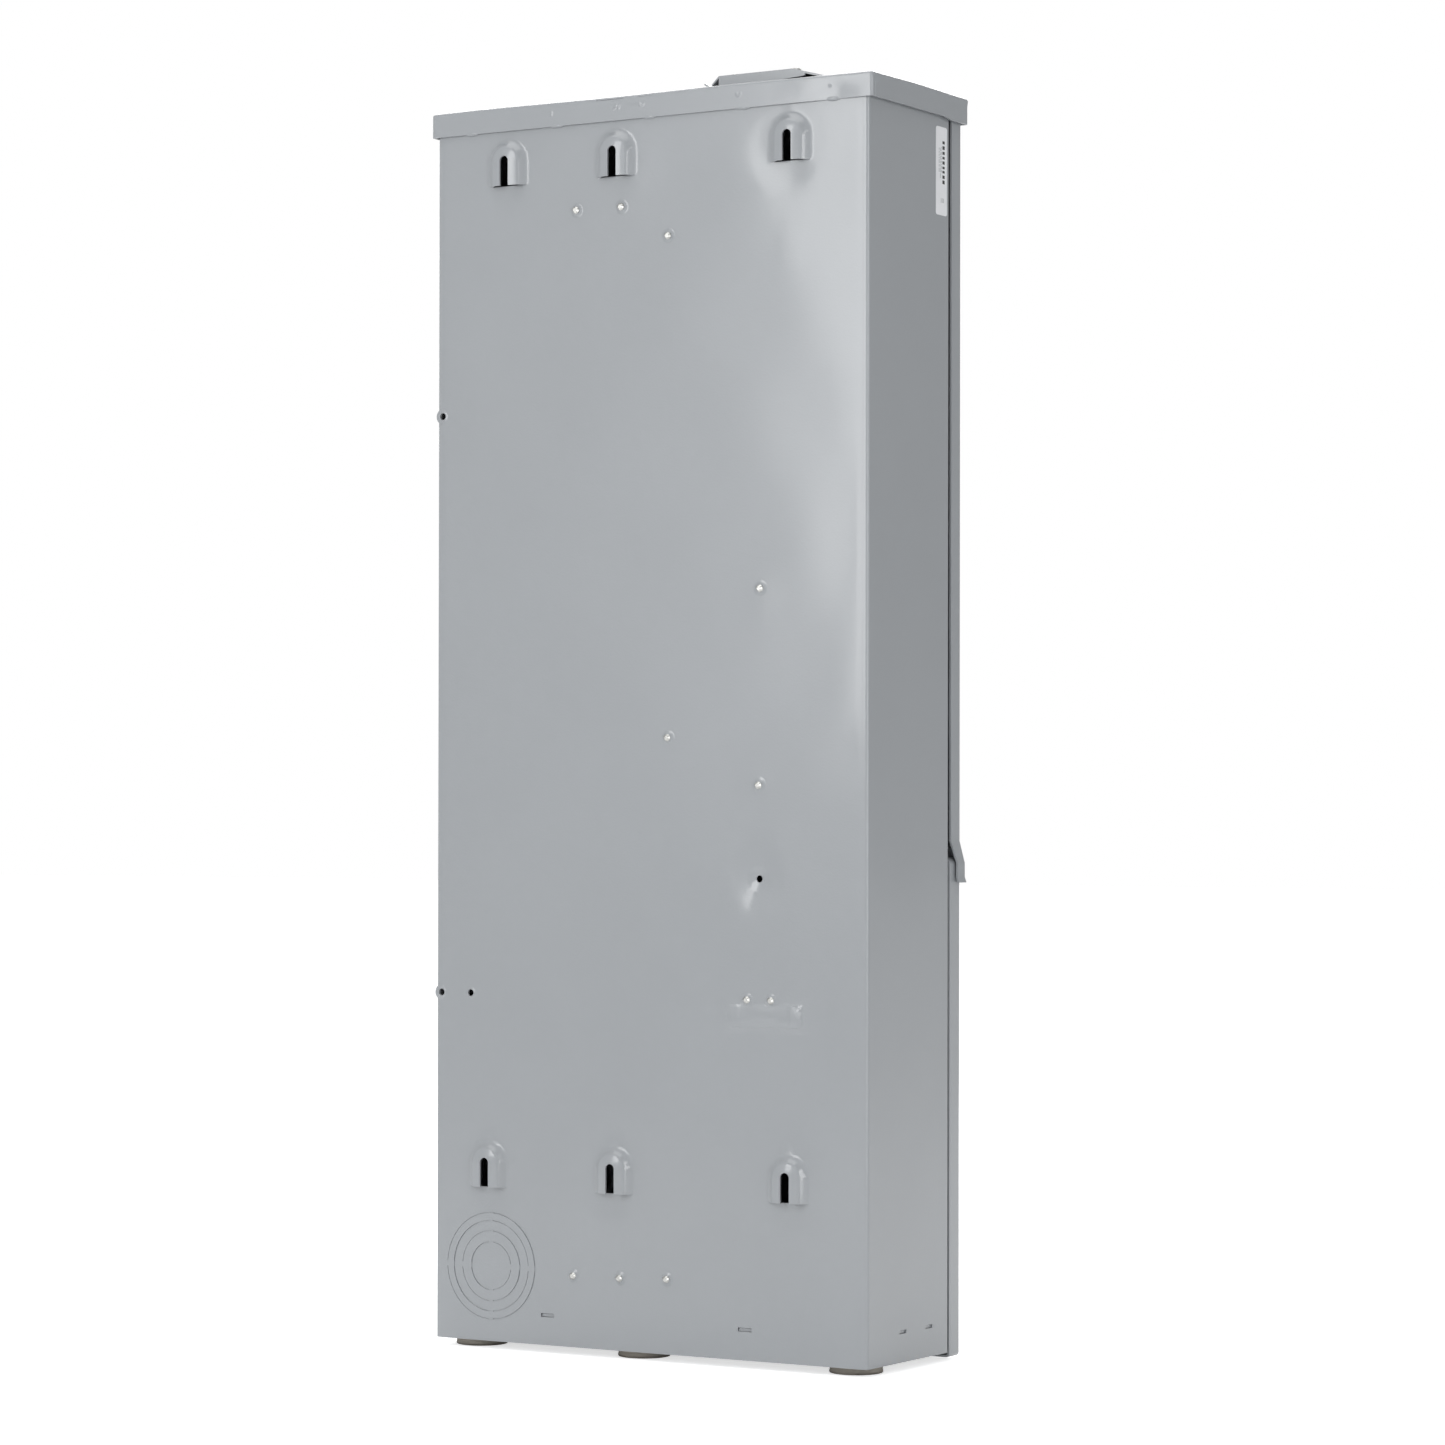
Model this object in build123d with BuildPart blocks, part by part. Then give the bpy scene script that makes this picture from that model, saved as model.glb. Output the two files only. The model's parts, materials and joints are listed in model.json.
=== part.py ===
from build123d import *
import os
from math import cos, radians, sin

os.makedirs("parts", exist_ok=True)

# Frame: +Z up, the back rests on a wall at +Y, the door faces -Y, +X is on the right of
# someone facing the door. The origin is on the ground, under the middle of the whole
# object. Everything is in millimetres.

# Sheet metal
sheet = 1.5                 # steel sheet, 16 gauge
bend = 2.5                  # outside radius of a bend
gap = 0.35                  # slip between two sheets that nest

# Body: one wrapper of back and sides
width = 365.0
body_depth = 117.8          # back face to the side walls' front edges
stand_off = 6.35            # wall feet pressed out of the back
return_width = 14.0         # front edges turned inwards
rail_half = 176.0           # rail and dead front, which bear on those edges
foot_height = 6.0
body_top = 905.0            # the wrapper's top edge, under the cap
floor_z = foot_height

# Depths, from the wall towards the door
hasp_reach = 33.75          # side walls' front edges to the hasp's tip
back_y = (stand_off + body_depth + hasp_reach) / 2 - stand_off
front_y = back_y - body_depth
inner_back = back_y - sheet
middle_y = (back_y + front_y) / 2

# Wall feet: arches sheared open across the bottom, with a notch for the wall screw
foot_half_width = 15.5
foot_rise = 17.5            # shear line to the middle of the arch
foot_taper = 35
notch_radius = 3.6
notch_rise = 17.9           # shear line to the middle of the notch's round end
top_feet_z = 849.0
bottom_feet_z = 118.5
top_feet_x = (-119.7, 26.1, 119.7)
bottom_feet_x = (-119.4, 26.2, 135.4)
wall_feet = [(x, top_feet_z) for x in top_feet_x] + [(x, bottom_feet_z) for x in bottom_feet_x]

# Concentric knockout in the back, for conduit of 2-1/2, 2, 1-1/2 and 1 inch trade size
knockout_at = (132.8, 60.9)
knockout_radii = (38.75, 33.0, 25.5, 17.5)
groove, groove_depth = 0.7, 0.35
tie = 4.0
ring_step = 0.4

# Screws through the back
tip_radius = 2.4            # number 10 sheet-metal screws
tip_out = 2.6               # how far their tips stand out of the back
clear = 0.05
pan_screws_at = [(59.9, 827.0), (21.3, 826.7), (-18.6, 803.2), (-18.9, 445.1)]
pan_screws_at += [(60.7, 57.5), (21.1, 58.0), (-18.7, 59.5)]
ground_bar_screws_at = [(-95.6, 549.6), (-94.6, 411.0)]
ground_lug_screws_at = [(-85.4, 259.9), (-105.1, 259.7)]
spare_holes_at = [(177.5, 683.4), (177.5, 259.8), (151.5, 259.8)]
spare_radius = 2.5
dished_hole_at = (-93.9, 345.2)
dish_radius, dish_depth = 9.0, 0.8
ledge_x, ledge_z, ledge_out = (-131.0, -67.0), (241.0, 256.0), 1.0

# Slots that take the floor's tabs
back_tab_x, back_tab_z, back_tab_size = 83.5, 27.7, (11.3, 2.8)
side_tab_y, side_tab_z, side_tab_size = (back_y - 51.2, back_y - 89.0), 27.4, (10.0, 2.5)
tab_slip = 0.4
tab_recess = 1.2            # tabs' ends lie this far under the walls' outer faces

# Cap and hub plate
cap_half_width = 186.8
cap_front, cap_back = front_y - 21.2, back_y + 2.0
cap_top, skirt_bottom = body_top + sheet, 889.0
hub_x, hub_y = -84.0, back_y - 57.0
hub_rise = 6.0
hub_opening = 25.0
hub_boss = (60.0, 72.0)
hub_screw_spread = (48.0, 62.0)
gasket_thick = 2.0

# Covers
upper_half_width, lower_half_width, lip_half_width = 182.0, 181.2, 184.2
upper_rear, upper_front = front_y - 3.9, front_y - 18.7
lip_rear, lip_front = front_y - 10.4, front_y - 22.7
lower_rear, lower_front = front_y - 3.5, front_y - 19.5
upper_top, joggle_top, joggle_bottom, lip_bottom = 903.5, 372.0, 356.0, 342.0
flare_height, flare = 4.0, 0.9
lower_bottom, lower_top = 2.0, 360.4
opening_x, opening_z = (-142.0, 140.0), (420.0, 850.0)
cover_screw_x, cover_screw_z = 150.0, 384.0
lower_screw_z = 17.0

# Door and its hinges
door_x, door_z = (-150.0, 149.0), (411.0, 859.0)
door_front, door_rear = front_y - 23.1, front_y - 19.1
hinge_x, hinge_y = 154.0, front_y - 21.7
knuckle_radius, pin_radius = 2.8, 1.25
hinge_height, knuckle_height, knuckle_gap = 60.0, 18.0, 0.3
hinge_z = (450.0, 760.0)    # lower ends of the two hinges
latch_z, latch_travel = 640.0, 7.0
hasp_x, hasp_hole_radius = -163.0, 4.8

# Interior, as depths behind the side walls' front edges
shoulder_y = front_y + 2.0  # breakers' front faces, behind the dead front
stab_y = front_y + 62.0     # breakers' backs
bus_y = (front_y + 64.3, front_y + 67.5)
web_y = front_y + 82.0      # front face of the interior pan
boss_y = front_y - 4.5      # breakers' raised fronts, through the dead front
handle_tip = front_y - 13.5
interior_x = 21.0           # middle of the interior
pan_x = (interior_x - 105.0, interior_x + 105.0)
pan_web_z = (76.0, 782.0)
pitch = 25.4                # one breaker space
spaces = 8
branch_top = 628.0
branch_length, branch_gap = 76.0, 4.0
boss_offset, boss_width = 27.0, 28.0
main_x, main_z = (interior_x - 50.0, interior_x + 50.0), (655.0, 795.0)
bus_width, bus_offset = 12.0, 13.0
neutral_x = (interior_x - 93.0, interior_x + 93.0)
neutral_z = (388.0, 625.0)
throw = 20.0                # a handle leans this far either way
bond_at = (neutral_x[0], 399.0)
dead_front_screws_at = [(x, z) for x in (-171.8, 171.8) for z in (400.0, 860.0)]
pilot_radius = 1.9          # number 8 screws, which hold the dead front
# branch breakers: side of the interior, first space from the top, number of poles
branches = [(-1, 0, 2), (-1, 2, 1), (-1, 3, 1), (1, 0, 2), (1, 2, 1), (1, 3, 1)]


def at_y(y):
    # a plane across the depth at y: sketch x is +X, sketch y is +Z, and it faces the door
    return Plane.XZ.offset(-y)


def block(x, y, z, mode=Mode.ADD):
    # a box between two limits on each axis
    with Locations(((x[0] + x[1]) / 2, (y[0] + y[1]) / 2, (z[0] + z[1]) / 2)):
        Box(abs(x[1] - x[0]), abs(y[1] - y[0]), abs(z[1] - z[0]), mode=mode)


def rod(radius, y, at, mode=Mode.ADD):
    # a round bar from front to back between two depths
    with Locations(Location((at[0], max(y), at[1]), (90, 0, 0))):
        Cylinder(radius, abs(y[1] - y[0]), align=(Align.CENTER, Align.CENTER, Align.MIN), mode=mode)


def post(radius, z, at, mode=Mode.ADD):
    # an upright round bar between two heights
    with Locations((at[0], at[1], min(z))):
        Cylinder(radius, abs(z[1] - z[0]), align=(Align.CENTER, Align.CENTER, Align.MIN), mode=mode)


def front_screw(at, under_head, tip, head=(4.4, 2.4), shank=tip_radius):
    # a slotted screw driven from the front
    rod(head[0], (under_head - head[1], under_head), at)
    rod(shank, (under_head, tip), at)
    block(
        (at[0] - head[0], at[0] + head[0]),
        (under_head - head[1], under_head - head[1] + 1.0),
        (at[1] - 0.6, at[1] + 0.6),
        mode=Mode.SUBTRACT,
    )


def wall_foot(half_width, low_y, high_y, rounding):
    # one tapered arch standing on z = 0, cut flat there
    plane = Plane(origin=(0, low_y, 0), x_dir=(-1, 0, 0), z_dir=(0, 1, 0))
    with BuildPart() as form:
        with BuildSketch(plane):
            with Locations((0, foot_rise)):
                Circle(half_width)
            Rectangle(2 * half_width, 2 * foot_rise)
        extrude(amount=high_y - low_y, taper=foot_taper)
        fillet(form.edges().group_by(Axis.Y)[-1], radius=rounding)
        split(bisect_by=Plane.XY, keep=Keep.TOP)
    return form.part


def ring_grooves(radii):
    # ring-shaped grooves, broken by four ties
    with BuildSketch() as rings:
        for radius in radii:
            Circle(radius + groove / 2)
            Circle(radius - groove / 2, mode=Mode.SUBTRACT)
        Rectangle(tie, 3 * radii[0], mode=Mode.SUBTRACT)
        Rectangle(3 * radii[0], tie, mode=Mode.SUBTRACT)
    return rings.sketch


def make_back_box():
    outer_form = wall_foot(foot_half_width, back_y, back_y + stand_off, 2.6)
    inner_form = wall_foot(foot_half_width - 0.8, inner_back - 0.5, back_y + stand_off - sheet, 1.2)
    screw_holes = pan_screws_at + ground_bar_screws_at + ground_lug_screws_at
    rear = Plane(origin=(0, back_y, 0), x_dir=(-1, 0, 0), z_dir=(0, 1, 0))
    with BuildPart() as box:
        with BuildSketch(Plane.XY.offset(floor_z)):
            with Locations((0, middle_y)):
                RectangleRounded(width, body_depth, bend)
                RectangleRounded(
                    width - 2 * sheet, body_depth - 2 * sheet, bend - sheet, mode=Mode.SUBTRACT
                )
            with Locations((0, front_y)):
                Rectangle(width - 2 * return_width, 3 * sheet, mode=Mode.SUBTRACT)
        extrude(amount=body_top - floor_z)
        for x, z in wall_feet:
            add(outer_form.moved(Location((x, 0, z))))
            add(inner_form.moved(Location((x, 0, z))), mode=Mode.SUBTRACT)
            slot_y = (back_y + 0.2, back_y + stand_off + 1)
            rod(notch_radius, slot_y, (x, z + notch_rise), mode=Mode.SUBTRACT)
            notch_x = (x - notch_radius, x + notch_radius)
            block(notch_x, slot_y, (z - 1, z + notch_rise), mode=Mode.SUBTRACT)
        # raised bar that the ground lug sits behind
        with BuildSketch(rear):
            with Locations((-sum(ledge_x) / 2, sum(ledge_z) / 2)):
                RectangleRounded(ledge_x[1] - ledge_x[0], ledge_z[1] - ledge_z[0], 6.0)
        extrude(amount=ledge_out, taper=45)
        # knockout rings stand proud by turns, with a groove round each
        for outer, inner in (knockout_radii[0:2], knockout_radii[2:4]):
            with BuildSketch(rear):
                with Locations((-knockout_at[0], knockout_at[1])):
                    Circle(outer)
                    Circle(inner, mode=Mode.SUBTRACT)
            extrude(amount=ring_step)
        grooves = ring_grooves(knockout_radii)
        placed = rear.offset(ring_step) * Pos(-knockout_at[0], knockout_at[1]) * grooves
        extrude(placed, amount=-(ring_step + groove_depth), mode=Mode.SUBTRACT)
        for at in screw_holes:
            rod(tip_radius + clear, (inner_back - 1, back_y + 2), at, mode=Mode.SUBTRACT)
        for at in dead_front_screws_at:
            rod(pilot_radius + clear, (front_y - 1, front_y + sheet + 1), at, mode=Mode.SUBTRACT)
        for at in spare_holes_at + [dished_hole_at]:
            rod(spare_radius, (inner_back - 1, back_y + 2), at, mode=Mode.SUBTRACT)
        ball = (dish_radius**2 + dish_depth**2) / (2 * dish_depth)
        with Locations((dished_hole_at[0], back_y - dish_depth + ball, dished_hole_at[1])):
            Sphere(ball, mode=Mode.SUBTRACT)
        for side in (-1, 1):
            slot_x = (side * back_tab_x - back_tab_size[0] / 2, side * back_tab_x + back_tab_size[0] / 2)
            slot_z = (back_tab_z - back_tab_size[1] / 2, back_tab_z + back_tab_size[1] / 2)
            block(slot_x, (inner_back - 1, back_y + 1), slot_z, mode=Mode.SUBTRACT)
            for y in side_tab_y:
                slot_y = (y - side_tab_size[0] / 2, y + side_tab_size[0] / 2)
                slot_z = (side_tab_z - side_tab_size[1] / 2, side_tab_z + side_tab_size[1] / 2)
                side_x = (side * (width / 2 - 2 * sheet), side * (width / 2 + 1))
                block(side_x, slot_y, slot_z, mode=Mode.SUBTRACT)
    box.part.label = "back_box"
    export_step(box.part, "parts/back_box.step")


def make_bottom_endwall():
    half = width / 2 - sheet - gap
    rear_y = inner_back - gap
    neck = width / 2 - return_width - gap
    lip_y = lower_front + sheet + 0.3
    flange_top = 36.0
    with BuildPart() as endwall:
        block((-half, half), (front_y + sheet + gap, rear_y), (floor_z, floor_z + sheet))
        block((-neck, neck), (lip_y, front_y + 2 * sheet), (floor_z, floor_z + sheet))
        block((-neck, neck), (lip_y, lip_y + sheet), (floor_z, floor_z + 20.0))
        block((-half, half), (rear_y - sheet, rear_y), (floor_z, flange_top))
        for side in (-1, 1):
            wall = (side * (half - sheet), side * half)
            block(wall, (front_y + 3.0, rear_y), (floor_z, flange_top))
            tab_x = back_tab_size[0] / 2 - tab_slip
            tab_z = back_tab_size[1] / 2 - tab_slip
            block(
                (side * back_tab_x - tab_x, side * back_tab_x + tab_x),
                (rear_y - 0.1, back_y - tab_recess),
                (back_tab_z - tab_z, back_tab_z + tab_z),
            )
            for y in side_tab_y:
                tab_y = side_tab_size[0] / 2 - tab_slip
                tab_z = side_tab_size[1] / 2 - tab_slip
                block(
                    (side * (half - 0.1), side * (width / 2 - tab_recess)),
                    (y - tab_y, y + tab_y),
                    (side_tab_z - tab_z, side_tab_z + tab_z),
                )
        rings = ring_grooves((22.0, 17.5, 14.0))
        for x in (-110.0, -45.0, 60.0, 120.0):
            placed = Plane.XY.offset(floor_z) * Pos(x, front_y + 46.0) * rings
            extrude(placed, amount=0.6, mode=Mode.SUBTRACT)
        rod(tip_radius + clear, (lip_y - 1, lip_y + sheet + 1), (0, lower_screw_z), mode=Mode.SUBTRACT)
    endwall.part.label = "bottom_endwall"
    export_step(endwall.part, "parts/bottom_endwall.step")


def make_top_cap():
    cap_middle = (cap_front + cap_back) / 2
    cap_depth = cap_back - cap_front
    holes = [
        (hub_x + i * hub_screw_spread[0] / 2, hub_y + j * hub_screw_spread[1] / 2)
        for i in (-1, 1)
        for j in (-1, 1)
    ]
    with BuildPart() as cap:
        with BuildSketch(Plane.XY.offset(skirt_bottom)):
            with Locations((0, cap_middle)):
                RectangleRounded(2 * cap_half_width, cap_depth, bend)
        extrude(amount=cap_top - skirt_bottom)
        fillet(cap.edges().group_by(Axis.Z)[-1], radius=2.0)
        with BuildSketch(Plane.XY.offset(cap_top)):
            with Locations((hub_x, hub_y)):
                RectangleRounded(hub_boss[0] + 8, hub_boss[1] + 8, 8.0)
        extrude(amount=hub_rise, taper=33)
        with BuildSketch(Plane.XY.offset(skirt_bottom)):
            with Locations((0, cap_middle)):
                RectangleRounded(
                    2 * (cap_half_width - sheet), cap_depth - 2 * sheet, bend - sheet
                )
        extrude(amount=body_top - skirt_bottom, mode=Mode.SUBTRACT)
        with BuildSketch(Plane.XY.offset(cap_top - sheet - 0.1)):
            with Locations((hub_x, hub_y)):
                RectangleRounded(hub_boss[0] + 5, hub_boss[1] + 5, 7.0)
        extrude(amount=hub_rise + 0.1, taper=33, mode=Mode.SUBTRACT)
        post(hub_opening, (cap_top, cap_top + hub_rise + 1), (hub_x, hub_y), mode=Mode.SUBTRACT)
        for at in holes:
            post(tip_radius + clear, (cap_top, cap_top + hub_rise + 1), at, mode=Mode.SUBTRACT)
    cap.part.label = "top_cap"
    export_step(cap.part, "parts/top_cap.step")
    return holes


def make_hub_plate(holes):
    flat_z = cap_top + hub_rise + gasket_thick
    with BuildPart() as gasket:
        with BuildSketch(Plane.XY.offset(cap_top + hub_rise)):
            with Locations((hub_x, hub_y)):
                RectangleRounded(hub_boss[0] - 1, hub_boss[1] - 1, 5.0)
                Circle(hub_opening, mode=Mode.SUBTRACT)
        extrude(amount=gasket_thick)
        for at in holes:
            post(tip_radius + clear, (flat_z - 4, flat_z + 1), at, mode=Mode.SUBTRACT)
    gasket.part.label = "hub_gasket"
    export_step(gasket.part, "parts/hub_gasket.step")

    plate_back = back_y - 12.0
    flat_x = (hub_x - 30.0, hub_x + 31.0)
    low_x, dip_x, lip_x = hub_x - 58.0, hub_x + 38.0, hub_x + 43.0
    with BuildPart() as plate:
        with BuildSketch(at_y(plate_back)) as profile:
            with BuildLine():
                under = [(low_x, cap_top + 0.4), (flat_x[0], flat_z), (flat_x[1], flat_z)]
                under += [(dip_x, cap_top + 1.2), (lip_x, cap_top + 4.0)]
                over = [(x, z + sheet) for x, z in reversed(under)]
                Polyline(*under, *over, close=True)
            make_face()
            fillet(profile.vertices().sort_by(Axis.X)[2:6], radius=2.0)
        extrude(amount=90.0)
        # back flange, whose lower edge rises towards the sloping side
        with BuildSketch(at_y(plate_back)):
            with BuildLine():
                slope = (flat_z - cap_top - 0.4) / (flat_x[0] - low_x)
                edge_x = flat_x[0] - 10.0
                edge_z = flat_z - 10.0 * slope
                Polyline(
                    (edge_x, cap_top + 3.8),
                    (flat_x[1] - 14.0, cap_top + 0.3),
                    (flat_x[1], cap_top + 0.3),
                    (flat_x[1], flat_z + 0.5),
                    (flat_x[0], flat_z + 0.5),
                    (edge_x, edge_z + 0.5),
                    close=True,
                )
            make_face()
        extrude(amount=sheet)
        for at in holes:
            post(tip_radius + 0.3, (flat_z - 1, flat_z + 3), at, mode=Mode.SUBTRACT)
    plate.part.label = "hub_closing_plate"
    export_step(plate.part, "parts/hub_closing_plate.step")

    with BuildPart() as screws:
        for at in holes:
            post(4.2, (flat_z + sheet, flat_z + sheet + 2.2), at)
            post(tip_radius, (flat_z + sheet - 9.0, flat_z + sheet), at)
            block(
                (at[0] - 4.2, at[0] + 4.2),
                (at[1] - 0.6, at[1] + 0.6),
                (flat_z + sheet + 1.2, flat_z + sheet + 2.2),
                mode=Mode.SUBTRACT,
            )
    screws.part.label = "hub_screws"
    export_step(screws.part, "parts/hub_screws.step")


def make_mid_rail():
    half = rail_half
    shelf = (joggle_top - 5.5, joggle_top - 4.0)
    lip_y = upper_front + sheet
    with BuildPart() as rail:
        block((-half, half), (front_y - sheet, front_y), (340.0, shelf[1]))
        block((-half, half), (lip_y, front_y), shelf)
        block((-half, half), (lip_y, lip_y + sheet), (shelf[0], 394.0))
        for side in (-1, 1):
            at = (side * cover_screw_x, cover_screw_z)
            rod(tip_radius + clear, (lip_y - 1, lip_y + 3), at, mode=Mode.SUBTRACT)
    rail.part.label = "mid_rail"
    export_step(rail.part, "parts/mid_rail.step")


def pan_section(half_width, rear, front, z, radius):
    # a rectangle with its two front corners rounded
    with BuildSketch(Plane.XY.offset(z)) as section:
        with Locations((0, (rear + front) / 2)):
            Rectangle(2 * half_width, rear - front)
        fillet(section.vertices().group_by(Axis.Y)[0], radius)
    return section.sketch


def make_upper_cover():
    # half width, rear and front at each height; the lip steps out over the lower cover
    heights = [
        (upper_half_width, upper_rear, upper_front, upper_top),
        (upper_half_width, upper_rear, upper_front, joggle_top),
        (lip_half_width, lip_rear, lip_front, joggle_bottom),
        (lip_half_width, lip_rear, lip_front, lip_bottom + flare_height),
        (lip_half_width + flare, lip_rear, lip_front - flare, lip_bottom),
    ]
    outer = [pan_section(w, r, f, z, bend) for w, r, f, z in heights]
    heights[0] = (upper_half_width, upper_rear, upper_front, upper_top - sheet)
    inner = [pan_section(w - sheet, r + 8, f + sheet, z, bend - sheet) for w, r, f, z in heights]
    with BuildPart() as cover:
        for above, below in zip(outer, outer[1:]):
            loft([above, below])
        for above, below in zip(inner, inner[1:]):
            loft([above, below], mode=Mode.SUBTRACT)
        with BuildSketch(at_y(upper_front + 4)):
            with Locations((sum(opening_x) / 2, sum(opening_z) / 2)):
                RectangleRounded(opening_x[1] - opening_x[0], opening_z[1] - opening_z[0], 5.0)
        extrude(amount=6.0, mode=Mode.SUBTRACT)
        for side in (-1, 1):
            at = (side * cover_screw_x, cover_screw_z)
            rod(tip_radius + 0.3, (upper_front - 1, upper_front + 3), at, mode=Mode.SUBTRACT)
    cover.part.label = "upper_cover"
    export_step(cover.part, "parts/upper_cover.step")


def make_lower_cover():
    middle = (lower_bottom + lower_top) / 2
    height = lower_top - lower_bottom
    with BuildPart() as cover:
        with BuildSketch(at_y(lower_rear)) as outline:
            with Locations((0, middle)):
                Rectangle(2 * lower_half_width, height)
            fillet(outline.vertices().group_by(Axis.Y)[-1], radius=6.0)
            fillet(outline.vertices().group_by(Axis.Y)[0], radius=bend)
        extrude(amount=lower_rear - lower_front)
        fillet(cover.edges().group_by(Axis.Y)[0], radius=2.0)
        with BuildSketch(at_y(lower_rear)) as hollow:
            with Locations((0, middle)):
                Rectangle(2 * (lower_half_width - sheet), height - 2 * sheet)
            fillet(hollow.vertices().group_by(Axis.Y)[-1], radius=6.0 - sheet)
            fillet(hollow.vertices().group_by(Axis.Y)[0], radius=bend - sheet)
        extrude(amount=lower_rear - lower_front - sheet, mode=Mode.SUBTRACT)
        top_edge = (lower_top - 2.0, lower_top + 1.0)
        cut_x = (-rail_half - 2.0, rail_half + 2.0)
        block(cut_x, (lower_rear - 5.0, lower_rear + 1.0), top_edge, mode=Mode.SUBTRACT)
        hole_y = (lower_front - 1, lower_front + 3)
        rod(tip_radius + 0.3, hole_y, (0, lower_screw_z), mode=Mode.SUBTRACT)
    cover.part.label = "lower_cover"
    export_step(cover.part, "parts/lower_cover.step")


def make_cover_screws():
    with BuildPart() as upper:
        for side in (-1, 1):
            front_screw((side * cover_screw_x, cover_screw_z), upper_front, upper_front + 7.0)
    upper.part.label = "upper_cover_screws"
    export_step(upper.part, "parts/upper_cover_screws.step")

    with BuildPart() as lower:
        front_screw((0, lower_screw_z), lower_front, lower_front + 7.0)
    lower.part.label = "lower_cover_screw"
    export_step(lower.part, "parts/lower_cover_screw.step")


def make_door():
    inside = door_front + sheet
    with BuildPart() as door:
        with BuildSketch(at_y(door_rear)):
            with Locations((sum(door_x) / 2, sum(door_z) / 2)):
                RectangleRounded(door_x[1] - door_x[0], door_z[1] - door_z[0], 4.0)
        extrude(amount=door_rear - door_front)
        fillet(door.edges().group_by(Axis.Y)[0], radius=1.2)
        with BuildSketch(at_y(door_rear)):
            with Locations((sum(door_x) / 2, sum(door_z) / 2)):
                RectangleRounded(
                    door_x[1] - door_x[0] - 2 * sheet, door_z[1] - door_z[0] - 2 * sheet, 2.5
                )
        extrude(amount=door_rear - inside, mode=Mode.SUBTRACT)
        # rolled knuckles on the hinge side
        for low in hinge_z:
            low_end = low + knuckle_height + knuckle_gap
            high_end = low + hinge_height - knuckle_height - knuckle_gap
            block((door_x[1] - 4.0, hinge_x), (door_front, inside), (low_end, high_end))
            post(knuckle_radius, (low_end, high_end), (hinge_x, hinge_y))
            bore = (low_end - 1, high_end + 1)
            post(pin_radius + clear, bore, (hinge_x, hinge_y), mode=Mode.SUBTRACT)
        # window that the latch slides in
        window_x = (-134.0, -134.0 + 12.0 + latch_travel + 2.0)
        window_z = (latch_z - 9.0, latch_z + 9.0)
        block(window_x, (door_front - 1, inside + 1), window_z, mode=Mode.SUBTRACT)
        # tab that meets the fixed hasp, with the padlock hole
        tab_z = (latch_z - 10.0, latch_z + 10.0)
        tab_x = (hasp_x + 2.1, hasp_x + 3.6)
        block((tab_x[0], door_x[0] + 3.0), (door_front, inside), tab_z)
        block(tab_x, (front_y - 33.0, inside), tab_z)
        with Locations(Location((tab_x[0] - 1, front_y - 26.5, latch_z), (0, 90, 0))):
            Cylinder(
                hasp_hole_radius,
                4.0,
                align=(Align.CENTER, Align.CENTER, Align.MIN),
                mode=Mode.SUBTRACT,
            )
    door.part.label = "door"
    export_step(door.part, "parts/door.step")


def make_hinges():
    leaf_y = (upper_front - 1.2, upper_front)
    with BuildPart() as leaves:
        for low in hinge_z:
            high = low + hinge_height
            block((hinge_x + knuckle_radius + 0.6, hinge_x + 18.0), leaf_y, (low, high))
            for end in ((low, low + knuckle_height), (high - knuckle_height, high)):
                block((hinge_x, hinge_x + 6.0), leaf_y, end)
                post(knuckle_radius, end, (hinge_x, hinge_y))
                bore = (end[0] - 1, end[1] + 1)
                post(pin_radius, bore, (hinge_x, hinge_y), mode=Mode.SUBTRACT)
    leaves.part.label = "door_hinge_leaves"
    export_step(leaves.part, "parts/door_hinge_leaves.step")

    with BuildPart() as pins:
        for low in hinge_z:
            post(pin_radius, (low - 1.0, low + hinge_height + 1.0), (hinge_x, hinge_y))
            post(2.2, (low - 2.0, low), (hinge_x, hinge_y))
    pins.part.label = "door_hinge_pins"
    export_step(pins.part, "parts/door_hinge_pins.step")


def make_latch():
    stem_x = (-133.0, -121.0)
    grip_y = (front_y - 25.6, door_front - gap)
    bolt_y = (front_y - 16.7, front_y - 14.7)
    half = 8.0
    with BuildPart() as latch:
        block((-140.0, -112.0), grip_y, (latch_z - 12.0, latch_z + 12.0))
        fillet(latch.edges().group_by(Axis.Y)[0], radius=1.0)
        for step in range(4):
            ridge = -134.0 + 5.0 * step
            block((ridge, ridge + 2.0), (front_y - 26.8, grip_y[1] - 0.5), (latch_z - 8, latch_z + 8))
        block(stem_x, (grip_y[0] + 1, bolt_y[1]), (latch_z - half, latch_z + half))
        block((-146.0, stem_x[1]), bolt_y, (latch_z - half, latch_z + half))
        chamfer(latch.edges().filter_by(Axis.Z).sort_by(Axis.X)[0:1], 1.0)
    latch.part.label = "door_latch"
    export_step(latch.part, "parts/door_latch.step")

    inside = door_front + sheet
    with BuildPart() as guide:
        block((-140.0, -104.0), (inside, inside + 1.2), (latch_z - 16.0, latch_z + 16.0))
        window = (-134.0, -134.0 + 12.0 + latch_travel + 2.0)
        block(window, (inside - 1, inside + 2), (latch_z - 9.0, latch_z + 9.0), mode=Mode.SUBTRACT)
    guide.part.label = "latch_guide"
    export_step(guide.part, "parts/latch_guide.step")

    with BuildPart() as hasp:
        block((hasp_x - 13.0, hasp_x + 1.6), (upper_front - sheet, upper_front), (628.0, 652.0))
        block((hasp_x, hasp_x + 1.6), (front_y - hasp_reach, upper_front), (628.0, 652.0))
        tip_edges = hasp.edges().filter_by(Axis.X).group_by(Axis.Y)[0]
        fillet(tip_edges, radius=5.0)
        with Locations(Location((hasp_x - 1, front_y - 26.5, latch_z), (0, 90, 0))):
            Cylinder(
                hasp_hole_radius,
                4.0,
                align=(Align.CENTER, Align.CENTER, Align.MIN),
                mode=Mode.SUBTRACT,
            )
    hasp.part.label = "padlock_hasp"
    export_step(hasp.part, "parts/padlock_hasp.step")


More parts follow.
